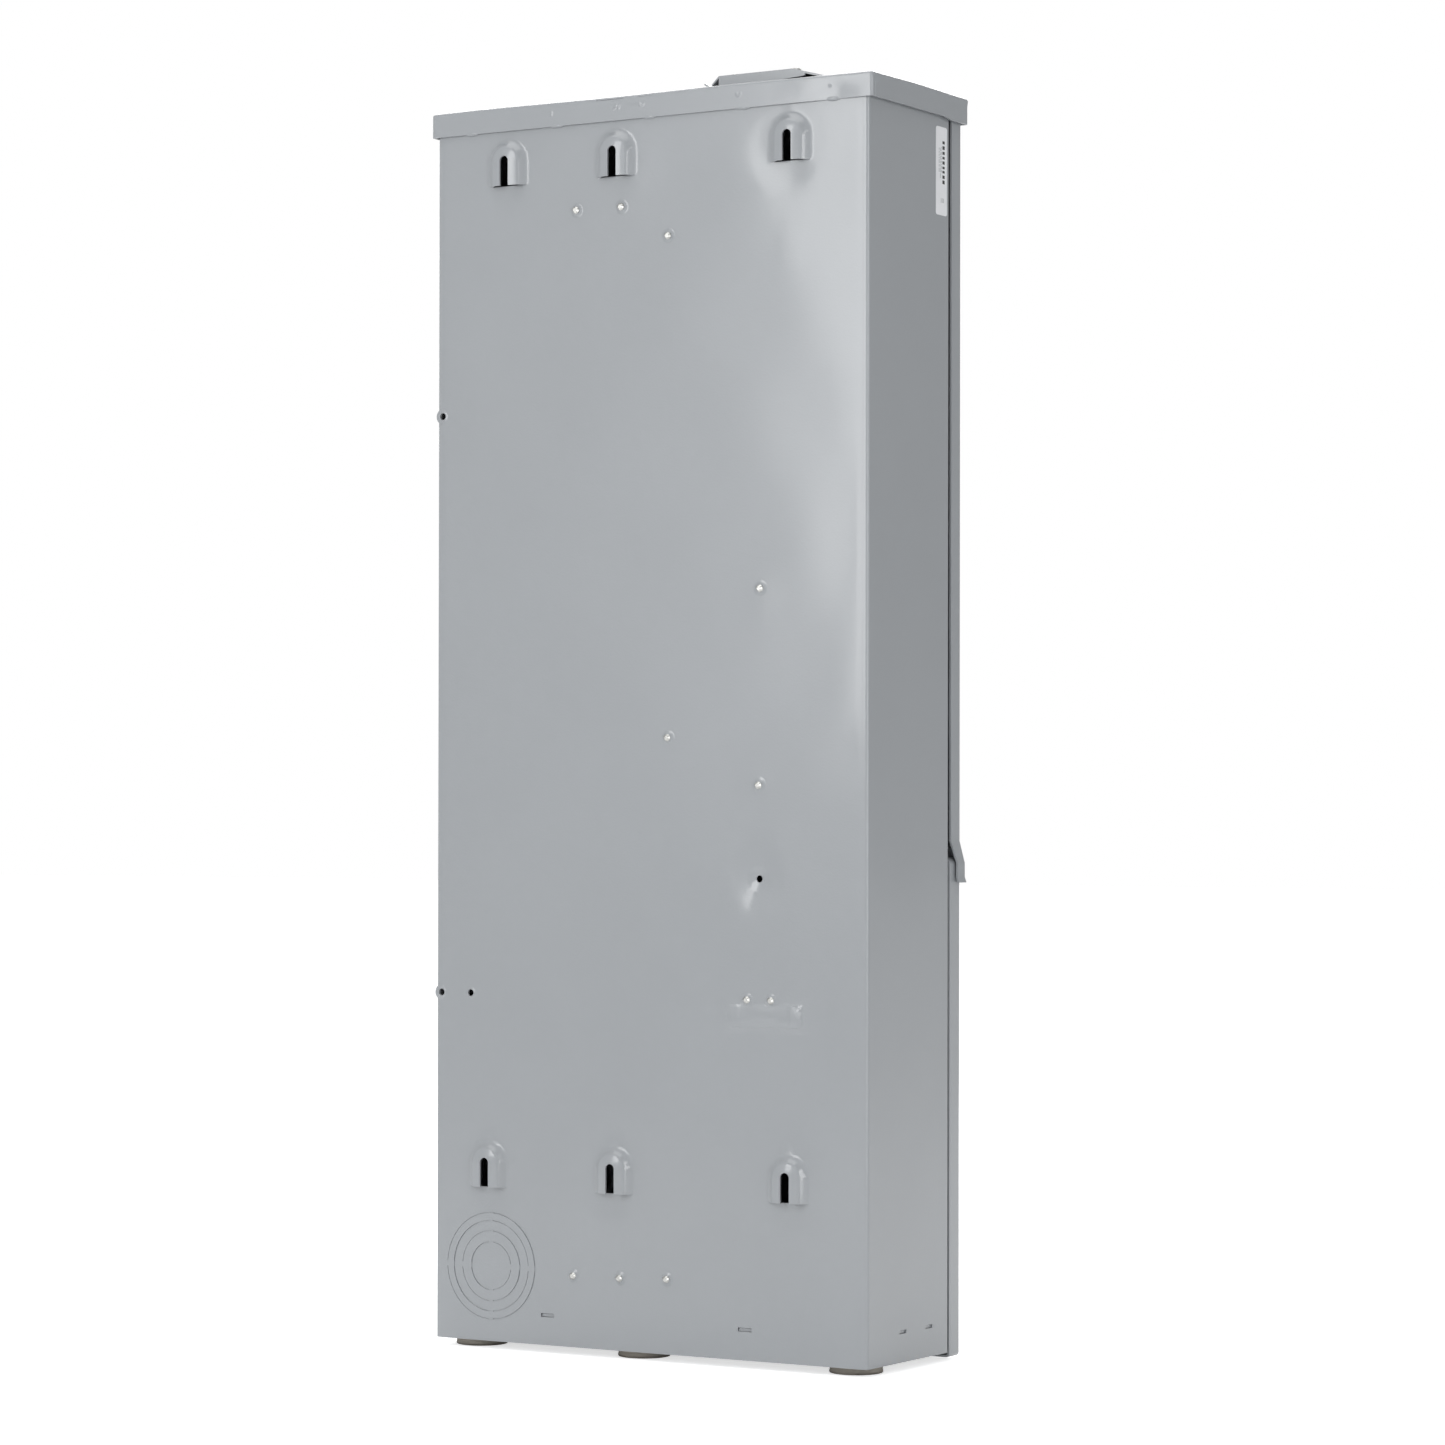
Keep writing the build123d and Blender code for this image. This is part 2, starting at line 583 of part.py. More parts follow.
def make_labels():
    inside = door_front + sheet
    with BuildPart() as card:
        block((-40.0, 110.0), (inside, inside + 0.3), (520.0, 780.0))
    card.part.label = "directory_card"
    export_step(card.part, "parts/directory_card.step")

    with BuildPart() as tag:
        with BuildSketch(Plane.YZ.offset(-width / 2 - 0.2)):
            with Locations((back_y - 105.1, 850.3)):
                RectangleRounded(16.3, 63.2, 2.0)
        extrude(amount=0.2)
    tag.part.label = "side_label"
    export_step(tag.part, "parts/side_label.step")


def make_feet():
    places = [(-158.0, back_y - 28.0), (18.0, back_y - 28.0), (160.0, back_y - 28.0)]
    places += [(-120.0, front_y + 19.0), (120.0, front_y + 19.0)]
    with BuildPart() as feet:
        for at in places:
            post(19.1, (0, foot_height), at)
        chamfer(feet.edges().group_by(Axis.Z)[0], 0.8)
    feet.part.label = "feet"
    export_step(feet.part, "parts/feet.step")


def window_centre(side):
    # middle of the row of breaker noses on one side of the interior
    return interior_x + side * boss_offset


def make_dead_front():
    low, high = branch_top - spaces * pitch, branch_top
    with BuildPart() as plate:
        block((-rail_half, rail_half), (front_y - sheet, front_y), (370.0, 882.0))
        for side in (-1, 1):
            x = window_centre(side)
            span = (x - boss_width / 2 - 1, x + boss_width / 2 + 1)
            block(span, (front_y - 3, front_y + 1), (low, high), mode=Mode.SUBTRACT)
        main_window = (interior_x - 31.0, interior_x + 31.0)
        block(main_window, (front_y - 3, front_y + 1), (699.0, 746.0), mode=Mode.SUBTRACT)
        for x, z in dead_front_screws_at:
            rod(tip_radius + 0.2, (front_y - 3, front_y + 1), (x, z), mode=Mode.SUBTRACT)
    plate.part.label = "dead_front"
    export_step(plate.part, "parts/dead_front.step")

    with BuildPart() as screws:
        for at in dead_front_screws_at:
            front_screw(at, front_y - sheet, front_y + 5.0, head=(3.2, 1.8), shank=pilot_radius)
    screws.part.label = "dead_front_screws"
    export_step(screws.part, "parts/dead_front_screws.step")


def make_filler_plates():
    with BuildPart() as fillers:
        for side in (-1, 1):
            x = window_centre(side)
            for space in range(4, spaces):
                high = branch_top - space * pitch - 0.2
                low = high - pitch + 0.4
                half = boss_width / 2
                face_y = (front_y - sheet - 1.2, front_y - sheet)
                block((x - half - 3, x + half + 3), face_y, (low, high))
                block((x - half, x + half), (front_y - sheet, front_y + 2.0), (low + 1, high - 1))
                hollow = (front_y - sheet + 0.5, front_y + 3.0)
                core = (x - half + 1.5, x + half - 1.5)
                block(core, hollow, (low + 2.5, high - 2.5), mode=Mode.SUBTRACT)
    fillers.part.label = "filler_plates"
    export_step(fillers.part, "parts/filler_plates.step")


def make_interior_pan():
    foot_y = (inner_back - sheet, inner_back)
    riser = (web_y, inner_back)
    low_end, high_end = pan_web_z
    with BuildPart() as pan:
        block(pan_x, (web_y, web_y + sheet), pan_web_z)
        foot_x = (interior_x - 60.0, interior_x + 60.0)
        block(foot_x, riser, (low_end, low_end + sheet))
        block(foot_x, foot_y, (44.0, low_end + sheet))
        block(foot_x, riser, (high_end - sheet, high_end))
        block(foot_x, foot_y, (high_end - sheet, 838.0))
        # middle leg
        leg_x = (-31.0, -6.0)
        block(leg_x, riser, (428.0, 428.0 + sheet))
        block(leg_x, foot_y, (428.0, 460.0))
        # rails that the breakers' outer ends hook over
        for side in (-1, 1):
            x = interior_x + side * 70.0
            block((x - sheet / 2, x + sheet / 2), (stab_y + 1.0, web_y + sheet), (424.0, 630.0))
        for at in pan_screws_at:
            rod(tip_radius + 0.1, (inner_back - 3, inner_back + 1), at, mode=Mode.SUBTRACT)
        driver = (-18.9, 445.1)
        rod(6.0, (web_y - 1, web_y + 3), driver, mode=Mode.SUBTRACT)
        rod(tip_radius + clear, (web_y - 1, web_y + 3), bond_at, mode=Mode.SUBTRACT)
    pan.part.label = "interior_pan"
    export_step(pan.part, "parts/interior_pan.step")

    with BuildPart() as screws:
        for at in pan_screws_at:
            front_screw(at, inner_back - sheet, back_y + tip_out)
        chamfer(screws.edges().group_by(Axis.Y)[-1], 0.9)
    screws.part.label = "pan_screws"
    export_step(screws.part, "parts/pan_screws.step")


def make_bus():
    with BuildPart() as base:
        block((interior_x - 36, interior_x + 36), (bus_y[1], web_y), (412.0, 640.0))
        # ribs stand between the two bars
        block((interior_x - 2, interior_x + 2), (bus_y[0] + 1.0, bus_y[1]), (412.0, 640.0))
        for side in (-1, 1):
            x = interior_x + side * 30.0
            block((x - 2, x + 2), (stab_y + 1.5, bus_y[1]), (412.0, 640.0))
    base.part.label = "bus_insulator"
    export_step(base.part, "parts/bus_insulator.step")

    with BuildPart() as lug_base:
        block((interior_x - 40, interior_x + 40), (bus_y[1], web_y), (105.0, 215.0))
        block((interior_x - 2, interior_x + 2), (front_y + 52.0, bus_y[1]), (105.0, 215.0))
    lug_base.part.label = "feed_lug_insulator"
    export_step(lug_base.part, "parts/feed_lug_insulator.step")

    for name, side in (("bus_bar_a", -1), ("bus_bar_b", 1)):
        x = interior_x + side * bus_offset
        bar = (x - bus_width / 2, x + bus_width / 2)
        with BuildPart() as bus:
            block(bar, bus_y, (118.0, 674.0))
            # blade that the main breaker's jaw grips
            block(bar, (front_y + 54.0, bus_y[1]), (664.0, 667.0))
            for space in range(spaces):
                if (space % 2 == 0) == (side < 0):
                    z = branch_top - (space + 0.5) * pitch
                    root = (front_y + 54.0, bus_y[0] + 0.5)
                    blade = (interior_x - 13.0, interior_x + 13.0)
                    block(bar, root, (z - 1.6, z + 1.6))
                    block(blade, (front_y + 54.0, front_y + 60.0), (z - 1.6, z + 1.6))
            rod(3.0, (bus_y[0] - 1, bus_y[1] + 1), (x, 135.0), mode=Mode.SUBTRACT)
        bus.part.label = name
        export_step(bus.part, f"parts/{name}.step")


def make_breaker_cases():
    for number, (side, first, poles) in enumerate(branches, 1):
        inner = interior_x + side * branch_gap / 2
        outer = inner + side * branch_length
        high = branch_top - first * pitch - 0.2
        low = branch_top - (first + poles) * pitch + 0.2
        nose = window_centre(side)
        with BuildPart() as case:
            block((inner, outer), (shoulder_y, stab_y), (low, high))
            chamfer(case.edges().filter_by(Axis.Z), 1.0)
            boss = (nose - boss_width / 2, nose + boss_width / 2)
            block(boss, (boss_y, shoulder_y + 1), (low + 0.6, high - 0.6))
            for pole in range(poles):
                z = high + 0.2 - (pole + 0.5) * pitch
                # slot that the handle swings in, round the handle's hub
                slot = (nose - 10.0, nose + 10.0)
                block(slot, (boss_y - 1, front_y + 16.0), (z - 5.0, z + 5.0), mode=Mode.SUBTRACT)
                # jaw over the bus stab
                jaw = (inner - side, inner + side * 18.5)
                block(jaw, (front_y + 52.5, stab_y + 1), (z - 2.5, z + 2.5), mode=Mode.SUBTRACT)
                # wire hole and terminal screw well at the outer end
                wire = (outer, outer - side * 12.0)
                block(wire, (front_y + 36.0, front_y + 46.0), (z - 4.5, z + 4.5), mode=Mode.SUBTRACT)
                rod(3.6, (shoulder_y - 1, front_y + 37.0), (outer - side * 6.5, z), mode=Mode.SUBTRACT)
            if poles == 2:
                z = (low + high) / 2
                bridge = (nose - 9.0, nose + 9.0)
                block(bridge, (boss_y - 1, front_y + 2.0), (z - 9.0, z + 9.0), mode=Mode.SUBTRACT)
        case.part.label = f"branch_case_{number}"
        export_step(case.part, f"parts/branch_case_{number}.step")


def make_breaker_handles():
    for number, (side, first, poles) in enumerate(branches, 1):
        nose = window_centre(side)
        middle = branch_top - (first + poles / 2) * pitch
        hub = (nose, front_y + 8.0)
        length = front_y + 8.0 - handle_tip
        lean = radians(throw) * -side
        tip = (hub[0] + length * sin(lean), hub[1] - length * cos(lean))
        across = (cos(lean) * 2.6, sin(lean) * 2.6)
        with BuildPart() as handle:
            for pole in range(poles):
                z = branch_top - (first + pole + 0.5) * pitch
                post(4.4, (z - 4.0, z + 4.0), hub)
            span = 4.0 + (poles - 1) * pitch / 2
            with BuildSketch(Plane.XY.offset(middle - span)):
                with BuildLine():
                    root = (hub[0] + (tip[0] - hub[0]) * 0.5, hub[1] + (tip[1] - hub[1]) * 0.5)
                    foot = root if poles == 2 else hub
                    Polyline(
                        (foot[0] + across[0], foot[1] + across[1]),
                        (tip[0] + across[0] * 0.8, tip[1] + across[1] * 0.8),
                        (tip[0] - across[0] * 0.8, tip[1] - across[1] * 0.8),
                        (foot[0] - across[0], foot[1] - across[1]),
                        close=True,
                    )
                make_face()
            extrude(amount=2 * span)
            if poles == 2:
                for pole in range(poles):
                    z = branch_top - (first + pole + 0.5) * pitch
                    with BuildSketch(Plane.XY.offset(z - 4.0)):
                        with BuildLine():
                            Polyline(
                                (hub[0] + across[0], hub[1] + across[1]),
                                (root[0] + across[0], root[1] + across[1]),
                                (root[0] - across[0], root[1] - across[1]),
                                (hub[0] - across[0], hub[1] - across[1]),
                                close=True,
                            )
                        make_face()
                    extrude(amount=8.0)
        handle.part.label = f"branch_handle_{number}"
        export_step(handle.part, f"parts/branch_handle_{number}.step")


def make_main_breaker():
    middle = (main_z[0] + main_z[1]) / 2
    with BuildPart() as base:
        block((interior_x - 44, interior_x + 44), (stab_y, web_y), (690.0, 778.0))
    base.part.label = "main_breaker_base"
    export_step(base.part, "parts/main_breaker_base.step")

    with BuildPart() as case:
        block(main_x, (shoulder_y, stab_y), main_z)
        chamfer(case.edges().filter_by(Axis.Z), 1.5)
        nose = (interior_x - 30.0, interior_x + 30.0)
        block(nose, (boss_y, shoulder_y + 1), (700.0, 745.0))
        slot = (interior_x - 20, interior_x + 20)
        block(slot, (boss_y - 1, front_y + 22.0), (708.0, 737.0), mode=Mode.SUBTRACT)
        for side in (-1, 1):
            x = interior_x + side * bus_offset
            jaw = (x - 8.0, x + 8.0)
            block(jaw, (front_y + 52.0, stab_y + 1), (main_z[0] - 1, main_z[0] + 16.0), mode=Mode.SUBTRACT)
            well = interior_x + side * 25.0
            rod(6.5, (shoulder_y - 1, shoulder_y + 20.0), (well, main_z[1] - 14.0), mode=Mode.SUBTRACT)
    case.part.label = "main_breaker_case"
    export_step(case.part, "parts/main_breaker_case.step")

    hub = (front_y + 10.0, 722.5)
    length = hub[0] - handle_tip
    lean = radians(throw)
    tip = (hub[0] - length * cos(lean), hub[1] + length * sin(lean))
    across = (sin(lean) * 4.0, cos(lean) * 4.0)
    with BuildPart() as handle:
        with BuildSketch(Plane.YZ.offset(interior_x - 16.0)):
            with Locations(hub):
                Circle(6.5)
            with BuildLine():
                Polyline(
                    (hub[0] + across[0], hub[1] + across[1]),
                    (tip[0] + across[0] * 0.7, tip[1] + across[1] * 0.7),
                    (tip[0] - across[0] * 0.7, tip[1] - across[1] * 0.7),
                    (hub[0] - across[0], hub[1] - across[1]),
                    close=True,
                )
            make_face()
        extrude(amount=32.0)
    handle.part.label = "main_breaker_handle"
    export_step(handle.part, "parts/main_breaker_handle.step")


def make_lugs():
    # blocks bored for one big conductor each, with a set screw from the front
    line_x = (interior_x - 25.0, interior_x + 25.0)
    with BuildPart() as line:
        for x in line_x:
            block((x - 12, x + 12), (front_y + 30.0, front_y + 60.0), (main_z[1], main_z[1] + 26.0))
            post(8.0, (main_z[1] - 1, main_z[1] + 27.0), (x, front_y + 49.0), mode=Mode.SUBTRACT)
            screw_z = main_z[1] + 13.0
            rod(5.6, (front_y + 29.0, front_y + 49.0), (x, screw_z), mode=Mode.SUBTRACT)
    line.part.label = "line_lugs"
    export_step(line.part, "parts/line_lugs.step")

    with BuildPart() as feed:
        for side in (-1, 1):
            x = interior_x + side * bus_offset
            block((x - 10, x + 10), (front_y + 36.0, bus_y[0]), (120.0, 150.0))
            post(6.5, (119.0, 151.0), (x, front_y + 53.0), mode=Mode.SUBTRACT)
            rod(5.1, (front_y + 35.0, front_y + 53.0), (x, 141.0), mode=Mode.SUBTRACT)
    feed.part.label = "feed_lugs"
    export_step(feed.part, "parts/feed_lugs.step")

    with BuildPart() as neutral:
        x = neutral_x[1]
        block((x - 11, x + 11), (front_y + 36.0, front_y + 62.0), (596.0, 624.0))
        post(6.5, (595.0, 625.0), (x, front_y + 52.0), mode=Mode.SUBTRACT)
        rod(5.1, (front_y + 35.0, front_y + 52.0), (x, 610.0), mode=Mode.SUBTRACT)
    neutral.part.label = "neutral_lug"
    export_step(neutral.part, "parts/neutral_lug.step")

    with BuildPart() as ground:
        block((-112.0, -78.0), (inner_back - 3.0, inner_back), (250.0, 269.0))
        block((-109.0, -81.0), (inner_back - 26.0, inner_back - 2.0), (226.0, 251.0))
        post(6.0, (225.0, 252.0), (-95.0, inner_back - 11.0), mode=Mode.SUBTRACT)
        rod(5.1, (inner_back - 27.0, inner_back - 11.0), (-95.0, 238.0), mode=Mode.SUBTRACT)
        for at in ground_lug_screws_at:
            rod(tip_radius + 0.1, (inner_back - 4, inner_back + 1), at, mode=Mode.SUBTRACT)
    ground.part.label = "ground_lug"
    export_step(ground.part, "parts/ground_lug.step")

    with BuildPart() as mounting:
        for at in ground_lug_screws_at:
            front_screw(at, inner_back - 3.0, back_y + tip_out)
        chamfer(mounting.edges().group_by(Axis.Y)[-1], 0.9)
    mounting.part.label = "ground_lug_screws"
    export_step(mounting.part, "parts/ground_lug_screws.step")

    with BuildPart() as set_screws:
        places = [(x, main_z[1] + 13.0, front_y + 30.0, 5.5) for x in line_x]
        places += [(interior_x + s * bus_offset, 141.0, front_y + 36.0, 5.0) for s in (-1, 1)]
        places += [(neutral_x[1], 610.0, front_y + 36.0, 5.0)]
        places += [(-95.0, 238.0, inner_back - 26.0, 5.0)]
        for x, z, y, radius in places:
            rod(radius, (y - 2.0, y + 7.0), (x, z))
            with BuildSketch(at_y(y - 2.0)):
                with Locations((x, z)):
                    RegularPolygon(radius * 0.55, 6)
            extrude(amount=-4.0, mode=Mode.SUBTRACT)
    set_screws.part.label = "lug_set_screws"
    export_step(set_screws.part, "parts/lug_set_screws.step")


def make_terminal_bars():
    bar_y = (front_y + 62.0, front_y + 74.0)
    step = 10.0
    rows = [neutral_z[0] + 25.0 + i * step for i in range(18)]
    for name, x in (("neutral_bar_left", neutral_x[0]), ("neutral_bar_right", neutral_x[1])):
        with BuildPart() as bar:
            block((x - 6, x + 6), bar_y, neutral_z)
            for z in rows:
                with Locations(Location((x - 7, front_y + 70.0, z), (0, 90, 0))):
                    Cylinder(2.6, 14.0, align=(Align.CENTER, Align.CENTER, Align.MIN), mode=Mode.SUBTRACT)
                rod(2.15, (bar_y[0] - 1, front_y + 69.0), (x, z), mode=Mode.SUBTRACT)
            rod(tip_radius + clear, (bar_y[0] - 1, bar_y[1] + 1), (x, bond_at[1]), mode=Mode.SUBTRACT)
        bar.part.label = name
        export_step(bar.part, f"parts/{name}.step")

    with BuildPart() as insulators:
        for x in neutral_x:
            for z in (neutral_z[0] + 40.0, neutral_z[1] - 20.0):
                block((x - 8, x + 8), (bar_y[1], web_y), (z - 9, z + 9))
    insulators.part.label = "neutral_insulators"
    export_step(insulators.part, "parts/neutral_insulators.step")

    with BuildPart() as strap:
        block((neutral_x[0] - 6, neutral_x[1] + 6), (bar_y[1], bar_y[1] + 3.0), (392.0, 406.0))
        for x in neutral_x:
            rod(tip_radius + clear, (bar_y[1] - 1, bar_y[1] + 4), (x, bond_at[1]), mode=Mode.SUBTRACT)
    strap.part.label = "neutral_strap"
    export_step(strap.part, "parts/neutral_strap.step")

    with BuildPart() as bond:
        front_screw(bond_at, bar_y[0], web_y + 4.0)
    bond.part.label = "bonding_screw"
    export_step(bond.part, "parts/bonding_screw.step")

    ground_x = sum(x for x, z in ground_bar_screws_at) / 2
    ground_y = (inner_back - 17.0, inner_back - 7.0)
    holes = [422.0 + i * 9.0 for i in range(14)]
    with BuildPart() as ground:
        block((ground_x - 6.5, ground_x + 6.5), ground_y, (402.0, 559.0))
        for at in ground_bar_screws_at:
            rod(5.0, (ground_y[1], inner_back), at)
            rod(tip_radius + clear, (ground_y[0] - 1, inner_back + 1), at, mode=Mode.SUBTRACT)
        for z in holes:
            with Locations(Location((ground_x - 8, ground_y[1] - 3.5, z), (0, 90, 0))):
                Cylinder(2.3, 16.0, align=(Align.CENTER, Align.CENTER, Align.MIN), mode=Mode.SUBTRACT)
            rod(2.15, (ground_y[0] - 1, ground_y[1] - 4.0), (ground_x, z), mode=Mode.SUBTRACT)
    ground.part.label = "ground_bar"
    export_step(ground.part, "parts/ground_bar.step")

    with BuildPart() as mounting:
        for at in ground_bar_screws_at:
            front_screw(at, ground_y[0], back_y + tip_out)
        chamfer(mounting.edges().group_by(Axis.Y)[-1], 0.9)
    mounting.part.label = "ground_bar_mounting_screws"
    export_step(mounting.part, "parts/ground_bar_mounting_screws.step")

    with BuildPart() as binding:
        for x in neutral_x:
            for z in rows:
                front_screw((x, z), bar_y[0], bar_y[0] + 4.0, head=(3.6, 1.8), shank=2.1)
        for z in holes:
            front_screw((ground_x, z), ground_y[0], ground_y[0] + 3.0, head=(3.6, 1.8), shank=2.1)
    binding.part.label = "binding_screws"
    export_step(binding.part, "parts/binding_screws.step")


make_back_box()
make_bottom_endwall()
make_hub_plate(make_top_cap())
make_mid_rail()
make_upper_cover()
make_lower_cover()
make_cover_screws()
make_door()
make_hinges()
make_latch()
make_labels()
make_feet()
make_dead_front()
make_filler_plates()
make_interior_pan()
make_bus()
make_breaker_cases()
make_breaker_handles()
make_main_breaker()
make_lugs()
make_terminal_bars()
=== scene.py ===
import json
import math
import random

import bmesh
import bpy
from mathutils import Euler, Matrix, Vector


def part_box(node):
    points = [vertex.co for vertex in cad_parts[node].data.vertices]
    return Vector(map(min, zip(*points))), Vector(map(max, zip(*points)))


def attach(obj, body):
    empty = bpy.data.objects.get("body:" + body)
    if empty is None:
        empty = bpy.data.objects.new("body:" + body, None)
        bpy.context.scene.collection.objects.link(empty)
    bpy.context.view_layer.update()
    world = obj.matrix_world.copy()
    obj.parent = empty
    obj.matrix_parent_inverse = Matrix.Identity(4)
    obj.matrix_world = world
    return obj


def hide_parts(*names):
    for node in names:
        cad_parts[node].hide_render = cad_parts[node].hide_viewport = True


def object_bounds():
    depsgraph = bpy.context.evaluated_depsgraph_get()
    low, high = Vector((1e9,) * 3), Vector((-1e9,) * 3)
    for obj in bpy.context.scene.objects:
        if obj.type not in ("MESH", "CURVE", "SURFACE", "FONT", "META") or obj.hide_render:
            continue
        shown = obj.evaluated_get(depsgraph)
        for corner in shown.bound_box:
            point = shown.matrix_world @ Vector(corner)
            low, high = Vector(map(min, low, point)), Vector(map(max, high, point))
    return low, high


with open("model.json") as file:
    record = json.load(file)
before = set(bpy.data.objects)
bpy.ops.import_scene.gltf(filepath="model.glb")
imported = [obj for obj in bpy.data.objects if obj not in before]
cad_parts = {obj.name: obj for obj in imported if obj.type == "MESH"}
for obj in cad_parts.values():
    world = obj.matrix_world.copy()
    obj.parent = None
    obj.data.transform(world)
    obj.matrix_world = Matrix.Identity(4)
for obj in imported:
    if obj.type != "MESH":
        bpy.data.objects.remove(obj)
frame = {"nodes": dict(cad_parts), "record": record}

cadLow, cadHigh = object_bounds()
nodes = frame["nodes"]
print("frame loaded:", len(nodes), "nodes")

# metres everywhere; the back of the box faces +Y, the door faces -Y
boxLow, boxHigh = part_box("back_box")
standOff = 0.00635               # how far the wall feet stand out of the back
backY = boxHigh.y - standOff
sideX = boxHigh.x
frontY = boxLow.y


# camera, light and floor

view = {
    "place": (-1.66365, 2.68231, 0.38653),
    "turn": 31.499,              # degrees from looking along -Y towards +X
    "rise": 0.42,
    "roll": 0.094,
    "lens": 107.856,
    "sensor": 36.0,
    "shift": 0.0456,
}


def makeCamera():
    lens = bpy.data.cameras.new("camera")
    lens.sensor_width = view["sensor"]
    lens.lens = view["lens"]
    lens.shift_y = view["shift"]
    lens.clip_start = 0.05
    lens.clip_end = 60.0
    camera = bpy.data.objects.new("camera", lens)
    turn, rise = math.radians(view["turn"]), math.radians(view["rise"])
    look = Vector((math.sin(turn) * math.cos(rise), -math.cos(turn) * math.cos(rise), math.sin(rise)))
    aim = look.to_track_quat("-Z", "Y").to_matrix() @ Matrix.Rotation(math.radians(view["roll"]), 3, "Z")
    camera.matrix_world = Matrix.Translation(view["place"]) @ aim.to_4x4()
    bpy.context.scene.collection.objects.link(camera)
    bpy.context.scene.camera = camera


studio = {
    "towards": (0.30, 0.93, 0.22),   # the way the brighter side of the room lies
    "sky": (0.28, 0.78),             # soft light from the dark side and the bright side
    "backdrop": 1.0,                 # what the camera sees behind the object
    "floor": (0.90, 0.90, 0.90),
    "floorLift": 0.52,               # keeps the far floor as pale as the backdrop
    "floorGlow": 0.11,               # the lit paper's share of the light from below
    "floorSize": 40.0,
    # softboxes: bearing from +Y towards +X, height angle, distance, size across and up, watts
    "lights": {
        "keyStrip": (18.7, 18.9, 1.98, 0.5, 1.3, 7.0),
        "sideStrip": (-56.0, 4.0, 1.7, 0.34, 1.3, 5.4),
        "doorSoftbox": (150.0, 26.0, 3.0, 1.7, 1.9, 46.0),
        "overhead": (20.0, 84.0, 2.6, 2.2, 2.2, 20.0),
    },
}


def makeWorld():
    world = bpy.data.worlds.new("studio")
    world.use_nodes = True
    bpy.context.scene.world = world
    tree = world.node_tree
    tree.nodes.clear()
    out = tree.nodes.new("ShaderNodeOutputWorld")
    point = tree.nodes.new("ShaderNodeTexCoord")
    facing = tree.nodes.new("ShaderNodeVectorMath")
    facing.operation = "DOT_PRODUCT"
    facing.inputs[1].default_value = studio["towards"]
    tree.links.new(point.outputs["Generated"], facing.inputs[0])
    level = tree.nodes.new("ShaderNodeMapRange")
    level.inputs["From Min"].default_value = -1.0
    level.inputs["To Min"].default_value, level.inputs["To Max"].default_value = studio["sky"]
    tree.links.new(facing.outputs["Value"], level.inputs["Value"])
    soft = tree.nodes.new("ShaderNodeBackground")
    soft.inputs["Color"].default_value = (0.985, 0.99, 1.0, 1)
    tree.links.new(level.outputs[0], soft.inputs["Strength"])
    seen = tree.nodes.new("ShaderNodeBackground")
    seen.inputs["Color"].default_value = (1, 1, 1, 1)
    seen.inputs["Strength"].default_value = studio["backdrop"]
    path = tree.nodes.new("ShaderNodeLightPath")
    pick = tree.nodes.new("ShaderNodeMixShader")
    tree.links.new(path.outputs["Is Camera Ray"], pick.inputs["Fac"])
    tree.links.new(soft.outputs[0], pick.inputs[1])
    tree.links.new(seen.outputs[0], pick.inputs[2])
    tree.links.new(pick.outputs[0], out.inputs["Surface"])


def makeLights():
    middle = (cadLow + cadHigh) / 2
    for name, (bearing, height, away, across, up, power) in studio["lights"].items():
        light = bpy.data.lights.new(name, "AREA")
        light.shape = "RECTANGLE"
        light.size = across
        light.size_y = up
        light.energy = power
        lamp = bpy.data.objects.new(name, light)
        b, h = math.radians(bearing), math.radians(height)
        towards = Vector((math.sin(b) * math.cos(h), math.cos(b) * math.cos(h), math.sin(h)))
        lamp.location = middle + towards * away
        lamp.rotation_mode = "QUATERNION"
        lamp.rotation_quaternion = towards.to_track_quat("Z", "Y")
        bpy.context.scene.collection.objects.link(lamp)


def makeFloor():
    bm = bmesh.new()
    bmesh.ops.create_grid(bm, x_segments=4, y_segments=4, size=studio["floorSize"] / 2)
    mesh = bpy.data.meshes.new("floor")
    bm.to_mesh(mesh)
    bm.free()
    floor = bpy.data.objects.new("floor", mesh)
    bpy.context.scene.collection.objects.link(floor)
    paper = bpy.data.materials.new("floorPaper")
    paper.use_nodes = True
    tree = paper.node_tree
    shader = tree.nodes["Principled BSDF"]
    shader.inputs["Base Color"].default_value = (*studio["floor"], 1)
    shader.inputs["Roughness"].default_value = 0.9
    shader.inputs["Specular IOR Level"].default_value = 0.2
    shader.inputs["Emission Color"].default_value = (1, 1, 1, 1)
    path = tree.nodes.new("ShaderNodeLightPath")
    lift = tree.nodes.new("ShaderNodeMath")
    lift.operation = "MULTIPLY_ADD"
    lift.inputs[1].default_value = studio["floorLift"]
    lift.inputs[2].default_value = studio["floorGlow"]
    tree.links.new(path.outputs["Is Camera Ray"], lift.inputs[0])
    tree.links.new(lift.outputs[0], shader.inputs["Emission Strength"])
    mesh.materials.append(paper)


def makeStudio():
    bpy.context.scene.view_settings.view_transform = "Standard"
    makeWorld()
    makeLights()
    makeFloor()
    print("camera, studio and floor made")


# shared shader groups

def startGroup(name, inputs, outputs):
    group = bpy.data.node_groups.new(name, "ShaderNodeTree")
    for label, value in inputs.items():
        kind = "NodeSocketVector" if isinstance(value, tuple) else "NodeSocketFloat"
        socket = group.interface.new_socket(label, in_out="INPUT", socket_type=kind)
        socket.default_value = value
    for label in outputs:
        group.interface.new_socket(label, in_out="OUTPUT", socket_type="NodeSocketFloat")
    return group, group.nodes.new("NodeGroupInput"), group.nodes.new("NodeGroupOutput")


def addNode(tree, kind, settings=None, **values):
    node = tree.nodes.new(kind)
    for name, value in (settings or {}).items():
        setattr(node, name, value)
    for name, value in values.items():
        node.inputs[name.replace("_", " ")].default_value = value
    return node


def objectPoint(tree):
    return tree.nodes.new("ShaderNodeTexCoord").outputs["Object"]


